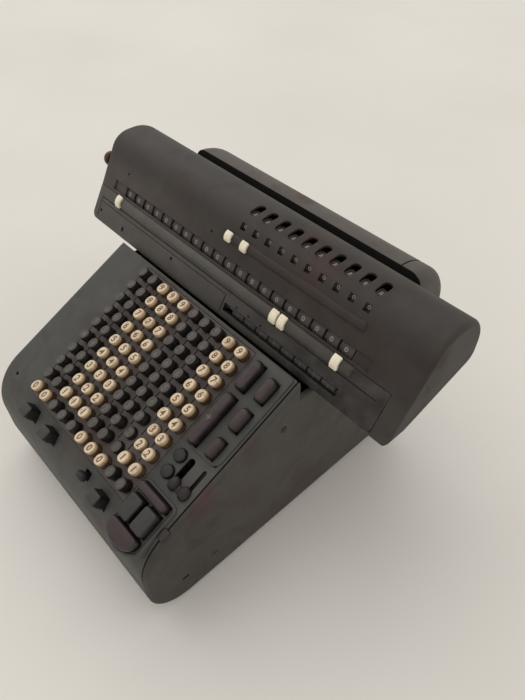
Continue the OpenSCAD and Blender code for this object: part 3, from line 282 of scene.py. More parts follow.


# Zones: darker over the front part of the side, a red-brown smudge and a dark smudge on the side.
BODY_PAINT = enamel("body_enamel", rgb(69, 66, 61), rgb(67, 58, 53), 0.9,
                    [(rgb(50, 48, 43), 0.6, [(1, -0.2, -0.19, -0.11, -0.06)]),
                     (rgb(78, 50, 47), 0.7, [(1, -0.118, -0.108, -0.096, -0.086),
                                             (2, 0.118, 0.13, 0.146, 0.158)]),
                     (rgb(44, 39, 36), 0.6, [(1, -0.114, -0.104, -0.094, -0.084),
                                             (2, 0.078, 0.087, 0.094, 0.103)])])
DECK_PAINT = enamel("deck_enamel", rgb(73, 73, 69), rgb(69, 65, 61), 0.5)
PLATE_PAINT = enamel("plate_enamel", rgb(88, 81, 77), rgb(84, 72, 67), 0.5)
# The right part of the dial panel and of its rail is darkened: painted shade.
PANEL_PAINT = enamel("panel_enamel", rgb(80, 76, 72), rgb(74, 66, 61), 0.5,
                     [(rgb(34, 31, 29), 0.95, [(0, -0.04, 0.13, 0.5, 0.6)])])
RAIL_PAINT = enamel("rail_enamel", rgb(84, 82, 77), rgb(77, 69, 64), 0.5,
                    [(rgb(50, 46, 43), 0.8, [(0, -0.02, 0.17, 0.5, 0.6)])])
# Zones: lighter over the left part of the face and top, darker brown over the upper right part with the upper
# dials, and along the thumb slots.
CARRIAGE_PAINT = enamel("carriage_enamel", rgb(57, 53, 49), rgb(55, 47, 43), 0.9,
                        [(rgb(76, 68, 64), 0.85, [(0, -0.5, -0.4, -0.12, 0.02), (2, 0.18, 0.19, 0.238, 0.25)]),
                         (rgb(46, 37, 33), 0.8, [(2, 0.21, 0.218, 0.246, 0.258), (0, -0.12, 0.05, 0.5, 0.6),
                                                 (1, -0.1, -0.09, 0.07, 0.08)]),
                         (rgb(50, 41, 37), 0.8, [(0, -0.004, 0.004, 0.156, 0.168),
                                                 (1, 0.064, 0.071, 0.084, 0.089)])])
REAR_PAINT = enamel("rear_enamel", rgb(84, 78, 73), rgb(79, 69, 64), 0.8)
# Plastics as (top, side, foot): the side and foot colours are painted shade, with soiling at the foot of the ivory
# keys.
IVORY = plastic("ivory_keys", rgb(216, 194, 164), rgb(190, 164, 128), rgb(92, 68, 48))
CLIP = plastic("ivory_clips", rgb(236, 226, 202), rgb(220, 204, 172), rgb(150, 128, 98), 0.42,
               rgb(190, 166, 128), 0.4)
DARK = plastic("dark_keys", rgb(69, 64, 61), rgb(33, 28, 26), rgb(21, 18, 17), 0.5, rgb(58, 51, 48), 0.35,
               (0.04, 0.13, 0.5))
SQUARE = plastic("square_keys", rgb(56, 53, 49), rgb(24, 21, 20), rgb(16, 14, 14), 0.5, rgb(46, 42, 40), 0.4,
                 (0.10, 0.24, 0.5))
BUTTON = plastic("dark_buttons", rgb(38, 36, 34), rgb(26, 23, 22), rgb(16, 14, 14), 0.5, rgb(30, 27, 26), 0.5,
                 (0.10, 0.3, 0.7))
MAROON = plastic("maroon_keys", rgb(55, 41, 42), rgb(42, 32, 33), rgb(19, 16, 17), 0.42, rgb(40, 30, 32), 0.5,
                 (0.14, 0.40, 0.85))
GREEN_GREY = plastic("green_grey_key", rgb(51, 48, 46), rgb(34, 32, 30), rgb(18, 17, 16), 0.5,
                     rgb(42, 37, 36), 0.5, (0.10, 0.26, 0.6))
PURPLE_GREY = plastic("purple_grey_key", rgb(53, 48, 50), rgb(34, 30, 32), rgb(18, 16, 17), 0.46,
                      rgb(43, 37, 39), 0.5, (0.10, 0.26, 0.6))
RED = plastic("red_levers", rgb(35, 22, 26), rgb(26, 16, 20), rgb(16, 10, 12), 0.5, rgb(24, 15, 18), 0.5)
CATCH = plastic("catch_maroon", rgb(50, 36, 38), rgb(36, 26, 28), rgb(24, 18, 19), 0.5, rgb(70, 56, 54), 0.5)
KNOB = plastic("knob_red", rgb(84, 46, 40), rgb(62, 33, 29), rgb(34, 20, 18), 0.42, rgb(48, 28, 25), 0.5)
DIGIT_DARK = flat_paint("digit_brown", rgb(92, 66, 46), rgb(126, 98, 72), 0.6, 0.5)
DIGIT_DIM = flat_paint("digit_dim", rgb(96, 88, 82), rgb(72, 65, 60), 0.6, 0.8)
DIGIT_GREY = flat_paint("digit_grey", rgb(134, 127, 118), rgb(98, 91, 84), 0.6, 0.6)
DIGIT_WHITE = flat_paint("digit_white", rgb(156, 148, 138), rgb(118, 110, 102), 0.6, 0.5)
DIAL = flat_paint("dial_brown", rgb(54, 48, 45), rgb(64, 56, 52), 0.55, 0.6)
CHECK = flat_paint("check_grey", rgb(58, 55, 52), rgb(44, 41, 38), 0.6, 0.6)
# Black for faces that lie in narrow gaps, slots and recesses: painted shade.
GAP_SHADE = flat_paint("painted_gap_shade", rgb(18, 16, 15), rgb(30, 27, 25), 0.8, 0.5)
SCREW = metal("screw_dark", rgb(66, 62, 58), rgb(48, 44, 40), 0.5, 0.15)
STEEL = metal("steel", rgb(132, 131, 128), rgb(84, 78, 70), 0.34)
BRASS = metal("brass", rgb(158, 126, 66), rgb(96, 74, 44), 0.34)
RUBBER = flat_paint("rubber", rgb(30, 29, 28), rgb(62, 58, 54), 0.8, 0.5)
MOTOR_PAINT = flat_paint("motor_black", rgb(36, 36, 38), rgb(58, 54, 50), 0.45, 0.4, 60)
INLET = flat_paint("inlet_plastic", rgb(28, 26, 25), rgb(54, 50, 46), 0.42, 0.4)


# Mesh building

GLYPHS = {}


def glyph(char):
    """Flat outline mesh of a plain digit or sign, 1 high and centred."""
    if char not in GLYPHS:
        curve = bpy.data.curves.new("glyph", "FONT")
        curve.body = char
        curve.resolution_u = 3
        curve.offset = 0.018
        obj = bpy.data.objects.new("glyph", curve)
        bpy.context.scene.collection.objects.link(obj)
        bpy.context.view_layer.update()
        mesh = bpy.data.meshes.new_from_object(obj.evaluated_get(bpy.context.evaluated_depsgraph_get()))
        bm = bmesh.new()
        bm.from_mesh(mesh)
        bmesh.ops.remove_doubles(bm, verts=bm.verts, dist=1e-4)
        bm.verts.ensure_lookup_table()
        bm.verts.index_update()
        pts = [(v.co.x, v.co.y) for v in bm.verts]
        faces = [[v.index for v in f.verts] for f in bm.faces]
        bm.free()
        bpy.data.objects.remove(obj)
        bpy.data.curves.remove(curve)
        bpy.data.meshes.remove(mesh)
        x0, x1 = min(p[0] for p in pts), max(p[0] for p in pts)
        y0, y1 = min(p[1] for p in pts), max(p[1] for p in pts)
        k = 1.0 / max(y1 - y0, 0.35)
        GLYPHS[char] = ([((p[0] - (x0 + x1) / 2) * k, (p[1] - (y0 + y1) / 2) * k) for p in pts], faces)
    return GLYPHS[char]


class Form:
    """Collects rings of points in one frame and turns them into one piece."""

    def __init__(self, place):
        self.bm = bmesh.new()
        self.place = place
        # Per-vertex darkening towards the foot of a piece: painted shade with soiling.
        self.age = self.bm.verts.layers.float.new("age")

    def ring(self, pts, age=0.0):
        out = []
        for p in pts:
            v = self.bm.verts.new(self.place @ Vector(p))
            v[self.age] = age
            out.append(v)
        return out

    def skin(self, a, b, mat=0):
        n = len(a)
        for i in range(n):
            f = self.bm.faces.new((a[i], a[(i + 1) % n], b[(i + 1) % n], b[i]))
            f.material_index = mat

    def cap(self, ring, mat=0, middle=None, age=0.0):
        if middle is None:
            self.bm.faces.new(ring).material_index = mat
            return
        c = self.ring([middle], age)[0]
        for i in range(len(ring)):
            self.bm.faces.new((ring[i], ring[(i + 1) % len(ring)], c)).material_index = mat

    def loft(self, loops, shade_and_soil_list=None, mat=0, middle=None):
        """Closed body through the loops, lowest first; middle is the point that closes the top."""
        shade_and_soil_list = shade_and_soil_list or [0.0] * len(loops)
        rings = [self.ring(l, a) for l, a in zip(loops, shade_and_soil_list)]
        for a, b in zip(rings, rings[1:]):
            self.skin(a, b, mat)
        self.cap(rings[0][::-1], mat)
        self.cap(rings[-1], mat, middle, shade_and_soil_list[-1])

    def sign(self, char, spot, mat, age=0.0):
        """Digit whose flat points are carried to the surface by spot(x, y)."""
        pts, faces = glyph(char)
        vs = self.ring([spot(x, y) for x, y in pts], age)
        for f in faces:
            self.bm.faces.new([vs[i] for i in f]).material_index = mat

    def mesh(self, name):
        bmesh.ops.recalc_face_normals(self.bm, faces=[f for f in self.bm.faces if f.material_index == 0])
        data = bpy.data.meshes.new(name)
        self.bm.to_mesh(data)
        self.bm.free()
        return data

    def piece(self, name, nodes, mats, slot, sharp=35.0):
        settle(name, self.mesh(name), nodes, mats, slot, sharp)


def settle(name, data, nodes, mats, slot, sharp=35.0, body=None):
    """Makes the mesh a piece that rides on its node's body and stands for its nodes."""
    obj = bpy.data.objects.new(name, data)
    bpy.context.scene.collection.objects.link(obj)
    for m in mats:
        data.materials.append(m)
    data.polygons.foreach_set("use_smooth", [True] * len(data.polygons))
    data.set_sharp_from_angle(angle=math.radians(sharp))
    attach(obj, body or BODY_OF[nodes[0]])
    if nodes:
        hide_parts(*nodes)
    return obj


def keep(node, mat):
    """The CAD node stays as it is, with a finished material."""
    data = NODES[node].data
    data.materials.clear()
    data.materials.append(mat)


def swell(c, power):
    """Sine or cosine bent towards a square outline as the power grows past 2."""
    return math.copysign(abs(c) ** (2 / power), c)


def oval(x, y, rx, ry, n=24, power=2.0):
    turns = [2 * math.pi * i / n for i in range(n)]
    return [(x + rx * swell(math.cos(t), power), y + ry * swell(math.sin(t), power)) for t in turns]


def rounded(x, y, hx, hy, radii, n=6):
    """Rounded rectangle with one radius, or one each for +x+y, -x+y, -x-y, +x-y."""
    if isinstance(radii, (int, float)):
        radii = [radii] * 4
    out = []
    for k, (sx, sy) in enumerate(((1, 1), (-1, 1), (-1, -1), (1, -1))):
        r = min(radii[k], hx, hy)
        for i in range(n + 1):
            a = math.pi / 2 * (k + i / n)
            out.append((x + sx * (hx - r) + r * math.cos(a), y + sy * (hy - r) + r * math.sin(a)))
    return out


def level(loop, w):
    return [(p[0], p[1], w) for p in loop]


def arc(c, r, a0, a1, n):
    return [(c[0] + r * math.cos(math.radians(a0 + (a1 - a0) * i / n)),
             c[1] + r * math.sin(math.radians(a0 + (a1 - a0) * i / n))) for i in range(n + 1)]


def slim(loop, gap=0.02):
    """Drops points that lie closer than gap to the one before."""
    out = [loop[0]]
    for p in loop[1:]:
        if math.dist(p, out[-1]) > gap:
            out.append(p)
    if math.dist(out[0], out[-1]) < gap:
        out.pop()
    return out


def corners(loop):
    """For each point of a loop in (y, z): outward normal and the stretch that keeps an offset even."""
    out = []
    n = len(loop)
    for i in range(n):
        a, b, c = loop[i - 1], loop[i], loop[(i + 1) % n]
        d1 = Vector((b[0] - a[0], b[1] - a[1])).normalized()
        d2 = Vector((c[0] - b[0], c[1] - b[1])).normalized()
        n1, n2 = Vector((d1.y, -d1.x)), Vector((d2.y, -d2.x))
        m = (n1 + n2).normalized()
        out.append((m, 1.0 / max(0.45, m.dot(n1))))
    return out


def tube(loop, x0, x1, r0, r1, steps=8):
    """Body along x over a loop in (y, z), run anticlockwise; r0 and r1 give the end rounding for a normal."""
    cs = corners(loop)
    big0 = max([r0(c[0]) for c in cs] + [0.0])
    big1 = max([r1(c[0]) for c in cs] + [0.0])
    xs = [x0 + big0 * (1 - math.cos(math.pi / 2 * i / steps)) for i in range(steps)] if big0 else [x0]
    xs += [x0 + big0 + (x1 - big1 - x0 - big0) * i / 4 for i in range(5 if big0 or big1 else 2)]
    if big1:
        xs += [x1 - big1 * (1 - math.cos(math.pi / 2 * (steps - 1 - i) / steps)) for i in range(steps)]
    xs = sorted(set(round(x, 4) for x in xs + [x1]))
    form = Form(BODY)
    loops = []
    for x in xs:
        pts = []
        for (p, (m, k)) in zip(loop, cs):
            i = 0.0
            for d, r in ((x - x0, r0(m)), (x1 - x, r1(m))):
                if r > 0 and d < r:
                    i += r - math.sqrt(max(0.0, r * r - (r - d) ** 2))
            pts.append((x, p[0] - m.x * i * k, p[1] - m.y * i * k))
        loops.append(pts)
    form.loft(loops)
    return form.mesh("tube")


def boxes(place, *sizes):
    """Mesh of boxes given as (x0, x1, y0, y1, z0, z1)."""
    form = Form(place)
    for x0, x1, y0, y1, z0, z1 in sizes:
        form.loft([[(x0, y0, z), (x1, y0, z), (x1, y1, z), (x0, y1, z)] for z in (z0, z1)])
    return form.mesh("boxes")


def prisms(place, items):
    """Mesh of upright prisms given as (loop, z0, z1)."""
    form = Form(place)
    for loop, z0, z1 in items:
        form.loft([level(loop, z0), level(loop, z1)])
    return form.mesh("prisms")


def carve(data, *steps):
    """Applies boolean steps ("DIFFERENCE" or "UNION", mesh) to a mesh."""
    obj = bpy.data.objects.new("carve", data)
    bpy.context.scene.collection.objects.link(obj)
    for kind, tool in steps:
        other = bpy.data.objects.new("tool", tool)
        bpy.context.scene.collection.objects.link(other)
        mod = obj.modifiers.new("cut", "BOOLEAN")
        mod.operation = kind
        mod.solver = "EXACT"
        mod.object = other
        bpy.context.view_layer.update()
        out = bpy.data.meshes.new_from_object(obj.evaluated_get(bpy.context.evaluated_depsgraph_get()))
        obj.modifiers.clear()
        obj.data = out
        bpy.data.objects.remove(other)
    data = obj.data
    bpy.data.objects.remove(obj)
    return data


def blacken(data, way):
    """Faces that look this way lie in a narrow gap and take the second material, black as painted shade."""
    for f in data.polygons:
        if f.normal.dot(Vector(way)) > 0.5:
            f.material_index = 1


def assign(data, place, choose):
    """Material of each face from its middle, given in the millimetres of a frame."""
    back = place.inverted()
    for f in data.polygons:
        k = choose(*(back @ f.center))
        if k:
            f.material_index = k


def weighted(obj):
    mod = obj.modifiers.new("even_normals", "WEIGHTED_NORMAL")
    mod.keep_sharp = True


# Keys

DISH = (3.95, 4.72)
TILT = math.tan(math.radians(10))
STEM = (1.6, 0.9)
STEM_END = -32


def key_top(px, py):
    return 10.5 + 0.28 * ((px / DISH[0]) ** 2 + (py / DISH[1]) ** 2) - TILT * py


# Rings of a digit key: half widths, height, darkening towards the foot (painted shade with soiling), tilt of the
# top.
KEY_RINGS = [
    (5.45, 5.45, -2.2, 1.0, 0.0), (5.45, 5.45, 5.75, 1.0, 0.0), (5.85, 5.95, 6.0, 0.95, 0.0),
    (5.8, 5.95, 6.5, 0.85, 0.1), (5.4, 5.75, 7.4, 0.66, 0.35), (5.0, 5.52, 8.6, 0.46, 0.7),
    (4.72, 5.34, 9.8, 0.3, 0.92), (4.5, 5.2, 10.45, 0.14, 1.0), (4.25, 5.0, 10.72, 0.05, 1.0),
]


def stem(form, x, v, low, high):
    form.loft([[(x + a * STEM[0], v + b * STEM[1], w) for a, b in ((-1, -1), (1, -1), (1, 1), (-1, 1))]
               for w in (low, high)], [1.0, 1.0])


def digit_key(form, x, v, drop, char):
    loops, shade_and_soil_list = [], []
    for rx, ry, w, age, tilt in KEY_RINGS:
        loops.append([(x + a, v + b, w - drop - TILT * b * tilt) for a, b in oval(0, 0, rx, ry, 24, 2.25)])
        shade_and_soil_list.append(age)
    for part in (1.0, 0.62, 0.25):
        loops.append([(x + a, v + b, key_top(a, b) - drop)
                      for a, b in oval(0, 0, DISH[0] * part, DISH[1] * part, 24, 2.2)])
        shade_and_soil_list.append(0.0)
    form.loft(loops, shade_and_soil_list, 0, (x, v, key_top(0, 0) - drop))
    size = 6.5
    form.sign(char, lambda a, b: (x + a * size * 0.92, v + b * size,
                                  key_top(a * size * 0.92, b * size) + 0.05 - drop), 1)
    stem(form, x, v, STEM_END - drop, -1.8 - drop)


COLUMN_X = [(c - 5.5) * 16 for c in range(1, 11)]
ROW_PITCH = 16.4
ZERO_V = -16.3
IVORY_COLUMNS = (3, 4, 5, 9, 10)
LATCHED = {8: (1, 2), 9: (2, 3)}
LATCH_DROP = 5.6


def keyboard():
    for c in range(1, 11):
        ivory = c in IVORY_COLUMNS
        mats = [IVORY, DIGIT_DARK] if ivory else [DARK, DIGIT_DIM]
        slot = "key_ivory" if ivory else "key_dark"
        down = LATCHED.get(c, ())
        free = Form(DECK)
        for r in range(1, 10):
            if r not in down:
                digit_key(free, COLUMN_X[c - 1], (r - 1) * ROW_PITCH, 0.0, str(r))
        free.piece("digits_%d" % c, ["key_column_%d" % c], mats, slot)
        if down:
            low = Form(DECK)
            for r in down:
                digit_key(low, COLUMN_X[c - 1], (r - 1) * ROW_PITCH, LATCH_DROP, str(r))
            low.piece("digits_%d_down" % c, ["latched_keys_%d" % c], mats, slot)
    for ivory in (True, False):
        form = Form(DECK)
        for c in range(1, 11):
            if (c in IVORY_COLUMNS) != ivory:
                digit_key(form, COLUMN_X[c - 1], ZERO_V, 0.0, "0")
        tag = "ivory" if ivory else "dark"
        form.piece("zeros_" + tag, ["zero_keys_" + tag], [IVORY, DIGIT_DARK] if ivory else [DARK, DIGIT_DIM],
                   "key_" + tag)


def bar_outline(x, v, hx, hy, curve):
    r = curve * min(hx, hy)
    return lambda grow: rounded(x, v, hx + grow, hy + grow, max(0.3, r + grow))


def dee(grow):
    """Outline of the front bar: nearly straight at the back, round at the front."""
    out = []
    for i in range(56):
        c, s = math.cos(2 * math.pi * i / 56), math.sin(2 * math.pi * i / 56)
        p, ry = (5.0, 4.2) if s > 0 else (2.25, 10.2)
        out.append((PAN_MID + (16.5 + grow) * swell(c, p), -40.2 + (ry + grow) * swell(s, p)))
    return slim(out, 0.05)


def cap_key(name, node, x, v, outline, top, cap, flare, depth, mats, slot, sign=None, crown=0.35, end=STEM_END):
    """Moulded key: straight skirt, flared cap with rounded corners and a softly crowned top."""
    form = Form(DECK)
    foot = top - cap
    loops, shade_and_soil_list = [], []

    def add(grow, w, age):
        loops.append(level(outline(grow), w))
        shade_and_soil_list.append(age)

    add(flare - 0.6, -depth, 1.0)
    add(flare - 0.6, foot - 0.05, 1.0)
    add(flare, foot, 0.95)
    add(flare, foot + 0.5, 0.85)
    add(flare * 0.5, foot + cap * 0.5, 0.55)
    add(flare * 0.22, top - 1.1, 0.32)
    add(0.02, top - 0.5, 0.2)
    add(-0.45, top - 0.12, 0.1)
    add(-1.05, top, 0.03)
    for part in (0.6, 0.25):
        loops.append([(x + (a - x) * part, v + (b - v) * part, top + crown * (1 - part)) for a, b, w in loops[8]])
        shade_and_soil_list.append(0.0)
    form.loft(loops, shade_and_soil_list, 0, (x, v, top + crown))
    stem(form, x, v, end, 0.5 - depth)
    if sign:
        form.sign(sign, lambda a, b: (x + a * 5.0, v + b * 5.0, top + crown + 0.03), 1)
    form.piece(name, [node], mats, slot)


PAN_MID = 102.4
CLUSTER = ((101.4, -4, 34, 6.4), (92.4, -22.6, 14, 21), (110.8, -22.2, 14, 21.6))
SQUARES = ((-62.7, -39.3), (-27.6, -39.3), (59.5, -41.2))
SLOTS = ((103.2, 7.0), (118.9, 3.8))
SLIDER_V = 14.4
TOGGLE_X, TOGGLE_ARC = 31.8, 21.4
BUTTONS = (("round_button_rear", 91.4, 33.6), ("round_button_front", 92.4, 17.1))
MOTOR_KEYS = (("upper_motor_key", 92.6, 120.8, 9, 27.2, None), ("plus_bar", 92.6, 73.2, 8.6, 50.4, "+"),
              ("upper_side_key", 113.4, 120, 8, 20.8, None), ("middle_side_key", 113.4, 88, 7.6, 19.2, None),
              ("lower_side_key", 113.4, 58, 6.4, 16.8, None))


def control_keys():
    for node, x, v, w, l, sign in MOTOR_KEYS:
        cap_key(node + "_cap", node, x, v, bar_outline(x, v, w / 2, l / 2, 0.85), 10.4, 4.4, 1.8, 3.6,
                [MAROON, DIGIT_DIM], "key_maroon", sign)
    for node, (x, v, w, l), mat, slot, curve in zip(
            ("cluster_rear_bar", "cluster_left_key", "cluster_right_key"), CLUSTER,
            (MAROON, GREEN_GREY, PURPLE_GREY), ("key_maroon", "key_dark", "key_dark"), (0.9, 0.35, 0.35)):
        cap_key(node + "_cap", node, x, v, bar_outline(x, v, w / 2, l / 2, curve), 10.4, 3.6, 1.0, 3.6,
                [mat], slot)
    cap_key("cluster_front_bar_cap", "cluster_front_bar", PAN_MID, -43.5, dee, 10.4, 3.6, 1.0, 3.6, [MAROON],
            "key_maroon")
    for k, (x, v) in enumerate(SQUARES):
        foot = nose_w(v + 6.6) + 3.6
        cap_key("square_cap_%d" % (k + 1), "square_key_%d" % (k + 1), x, v, bar_outline(x, v, 6.1, 5.4, 0.3), 9.3,
                9.3 - foot, 1.2, 7 - nose_w(v - 5.4), [SQUARE], "key_dark", None, 0.25, nose_w(v - 5.4) - 7.2)
    for node, x, v in BUTTONS:
        form = Form(DECK)
        steps = [(6.0, -5, 1), (6.0, 2.2, 0.7), (5.85, 2.9, 0.35), (5.4, 3.45, 0.14), (4.6, 3.8, 0.05),
                 (3.0, 3.95, 0), (1.2, 4.0, 0)]
        form.loft([level(oval(x, v, r, r, 32), w) for r, w, a in steps], [s[2] for s in steps], 0, (x, v, 4.0))
        form.piece(node + "_cap", [node], [BUTTON], "key_dark")


def levers():
    # Slider with a lobe over each slot, joined by a low bridge
    form = Form(DECK)
    for x, rx in ((104.6, 5.1), (117.8, 4.9)):
        steps = [(1.0, 0.3, 0.9), (1.0, 1.4, 0.6), (0.96, 2.4, 0.4), (0.84, 3.5, 0.2), (0.62, 4.3, 0.08),
                 (0.3, 4.7, 0.0)]
        form.loft([level(oval(x, SLIDER_V, rx * k, 6.4 * k, 28, 2.3), w) for k, w, a in steps],
                  [s[2] for s in steps], 0, (x, SLIDER_V, 4.8))
    bridge = [(0.0, 0.3, 0.9), (0.0, 1.6, 0.5), (-0.6, 2.2, 0.3)]
    form.loft([level(rounded(111.2, 13.6, 6.0 + g, 3.2 + g, 1.2), w) for g, w, a in bridge],
              [b[2] for b in bridge])
    for x, w in SLOTS:
        form.loft([level(rounded(x, 14.7, w / 2 - 0.3, 4, 0.4, 2), d) for d in (-8, 1.0)], [1.0, 0.9])
    form.piece("slider", ["slider_lever"], [RED], "lever_red")
    # Toggle: hooded finger piece that narrows to a ridge, on its pin
    form = Form(nose(TOGGLE_ARC))
    x = TOGGLE_X
    steps = [(3.4, 1.8, -7, 1, 0), (3.4, 1.8, -0.5, 1, 0), (3.4, 2.1, 2.0, 0.8, 0), (4.8, 3.2, 3.8, 0.6, 0.2),
             (6.0, 4.0, 5.8, 0.35, 0.3), (6.2, 4.0, 7.6, 0.2, 0.5), (5.4, 3.2, 9.4, 0.1, 0.7),
             (3.9, 2.1, 10.6, 0.04, 0.9), (1.6, 0.9, 11.0, 0, 1.0)]
    form.loft([[(p[0] + 0.8 * b, p[1] + 0.5 * b, w) for p in oval(x, 0, rx, ry, 32, 2.6)]
               for rx, ry, w, a, b in steps], [s[3] for s in steps], 0, (x + 0.8, 0.5, 11.0))
    form.loft([[(px, 1.6 * math.cos(t * math.pi / 8), -7 + 1.6 * math.sin(t * math.pi / 8)) for t in range(16)]
               for px in (x - 6.2, x + 6.2)], [1.0, 1.0])
    form.piece("toggle", ["toggle_lever"], [RED], "lever_red")


# Housing, plates and covers

def body_loop():
    """Side outline of the body: flat foot, step under the carriage, deck and round nose."""
    deck0 = (NOSE_C[0] - NOSE_R * math.sin(SLOPE), NOSE_C[1] + NOSE_R * math.cos(SLOPE))
    tail = [(LOW_C[0], FOOT), (BODY_BACK, FOOT), (BODY_BACK, 149.7), (290.5, 149.7), (290.5, SIDE_TOP),
            (EDGE[0], SIDE_TOP)]
    low = arc(LOW_C, LOW_R, 180, 270, 16)[:-1]
    front = arc(NOSE_C, NOSE_R, 90 + math.degrees(SLOPE), 180, 24)
    return slim(low + tail + [EDGE, deck0] + front[1:])


def near(normal, y, z):
    """How far a normal of a loop leans towards (y, z)."""
    return max(0.0, normal.x * y + normal.y * z)


def housing():
    outer = tube(body_loop(), BODY_X[0], BODY_X[1], lambda m: 3.0 + 6.0 * near(m, -1, -0.1), lambda m: 1.2)
    inner = slim(arc(LOW_C, LOW_R - 3, 180, 262, 14) + [(LOW_C[0], FOOT - 1), (BODY_BACK + 1, FOOT - 1),
                 (BODY_BACK + 1, EDGE[1] + 1), (EDGE[0], EDGE[1] + 1), (EDGE[0], 178.06), (EDGE[0] - 1.6, 178.06),
                 (EDGE[0] - 1.6, 188.4)]
                 + arc(NOSE_C, NOSE_R - 3, 90 + math.degrees(SLOPE), 180, 22))
    hollow = tube(inner, BODY_X[0] + 3, BODY_X[1] + 1.2, lambda m: 2.0 + 4.5 * near(m, -1, -0.1), lambda m: 0.0)
    cuts = [(-78.6, 77.8, -25.0, 137.8, -5, 1), (81.8, 123.2, 46.2, 137.4, -5, 1)]
    holes = [(oval(x, v, 6.3, 6.3, 32), -5, 1) for node, x, v in BUTTONS]
    holes += [(rounded(x, 24.8, w / 2, 14.4, w / 2, 8), -5, 1) for x, w in SLOTS]
    holes = prisms(DECK, holes + [(pan_outline(-2.4), -20, 1)])
    rebate = boxes(DECK, (-80.4, 79.6, -26.8, 139.6, -1.6, 1))
    squares = boxes(DECK, *[(x - 7.1, x + 7.1, v - 6.4, v + 6.4, -22, 4) for x, v in SQUARES])
    toggle = boxes(nose(TOGGLE_ARC), (TOGGLE_X - 3.9, TOGGLE_X + 3.9, -4.5, 4.5, -5, 4))
    pinhole = prisms(nose(10.1), [(oval(-111.7, 0, 1.7, 1.7, 20), -5, 3)])
    data = carve(outer, *[("DIFFERENCE", cut) for cut in (hollow, rebate, boxes(DECK, *cuts), holes, squares,
                                                          toggle, pinhole)])
    # End faces in the seam to the side cover are black: painted shade.
    blacken(data, (1, 0, 0))
    weighted(settle("housing_shell", data, ["main_housing"], [DECK_PAINT, GAP_SHADE], "body_paint", 32))


def side_cover():
    data = tube(body_loop(), COVER_X[0], COVER_X[1], lambda m: 1.2, lambda m: 4.2, 7)
    slit = boxes(BODY, (131.0, 134.0, 32.8, 40.0, 34.2, 37.2))
    data = carve(data, ("DIFFERENCE", slit))
    # The face in the seam to the housing and the inside of the slit are black: painted shade.
    blacken(data, (-1, 0, 0))
    assign(data, BODY, lambda x, y, z: 1 if x < 132.4 and 32.5 < y < 40.3 and 34 < z < 37.4 else 0)
    weighted(settle("side_panel", data, ["right_side_cover"], [BODY_PAINT, GAP_SHADE], "body_paint", 32))
    form = Form(BODY)
    for y, z in ((70, 34), (BODY_BACK - 40, 30), (EDGE[0] - 20, SIDE_TOP - 26), (BODY_BACK - 60, SIDE_TOP - 50)):
        rings = [(1.6, 127.0), (1.6, 132.7), (3.4, 132.75), (3.4, 133.4), (2.9, 133.9), (1.4, 134.0)]
        form.loft([[(x, y + a, z + b) for a, b in oval(0, 0, r, r, 24)] for r, x in rings], None, 0, (134.0, y, z))
        # Black bar across each screw head for its slot: painted shade.
        form.loft([[(x, y + a, z + b) for a, b in ((-0.45, -3.0), (0.45, -3.0), (0.45, 3.0), (-0.45, 3.0))]
                   for x in (133.3, 134.03)], None, 1)
    form.piece("side_fasteners", ["cover_fasteners"], [SCREW, GAP_SHADE], "steel")
    form = Form(DECK)
    steps = [(0, -4.0), (0, 1.2), (-0.5, 1.9), (-1.3, 2.2)]
    form.loft([level(rounded(128.2, -19, 3.4 + g, 5 + g, 1.6), w) for g, w in steps], [0.9, 0.6, 0.2, 0.0])
    settle("seam_catch", form.mesh("catch"), ["cover_fasteners"], [CATCH], "steel",
           body=BODY_OF["cover_fasteners"])


def pan_outline(g):
    """Straight sides and back, round front; grown by g."""
    x1, v1, big = 21.6 + g, 2.9 + g, 28.0 + g
    small, back = max(0.6, 5.0 + g), max(0.6, 6.0 + g)
    cx = x1 - small
    dv = math.sqrt((big - small) ** 2 - cx ** 2)
    turn = math.degrees(math.atan2(dv, cx))
    pts = arc((x1 - back, v1 - back), back, 0, 90, 8) + arc((back - x1, v1 - back), back, 90, 180, 8)
    pts += arc((-cx, -27.5 - dv), small, 180, 180 + turn, 6) + arc((0, -27.5), big, 180 + turn, 360 - turn, 20)
    pts += arc((cx, -27.5 - dv), small, 360 - turn, 360, 6)
    return slim([(PAN_MID + p[0], p[1]) for p in pts])


def cluster_pan():
    """Raised pan round the front keys, open under each key, with a soft rim."""
    form = Form(DECK)
    steps = [(0, -24.0), (0, 1.0), (-0.35, 1.7), (-0.95, 2.2), (-1.6, 2.4), (-2.2, 2.3), (-2.7, 1.8), (-2.9, 1.3)]
    form.loft([level(pan_outline(g), w) for g, w in steps])
    data = form.mesh("pan")
    cuts = [(x - w / 2 - 0.8, x + w / 2 + 0.8, v - l / 2 - 0.8, v + l / 2 + 0.8, -30, 4) for x, v, w, l in CLUSTER]
    below = boxes(BODY, (70, 130, -60, 80, 0, 93.37))
    data = carve(data, ("DIFFERENCE", boxes(DECK, *cuts)), ("DIFFERENCE", prisms(DECK, [(dee(0.8), -30, 4)])),
                 ("DIFFERENCE", below))
    settle("front_pan", data, ["cluster_pan"], [DECK_PAINT], "body_paint")


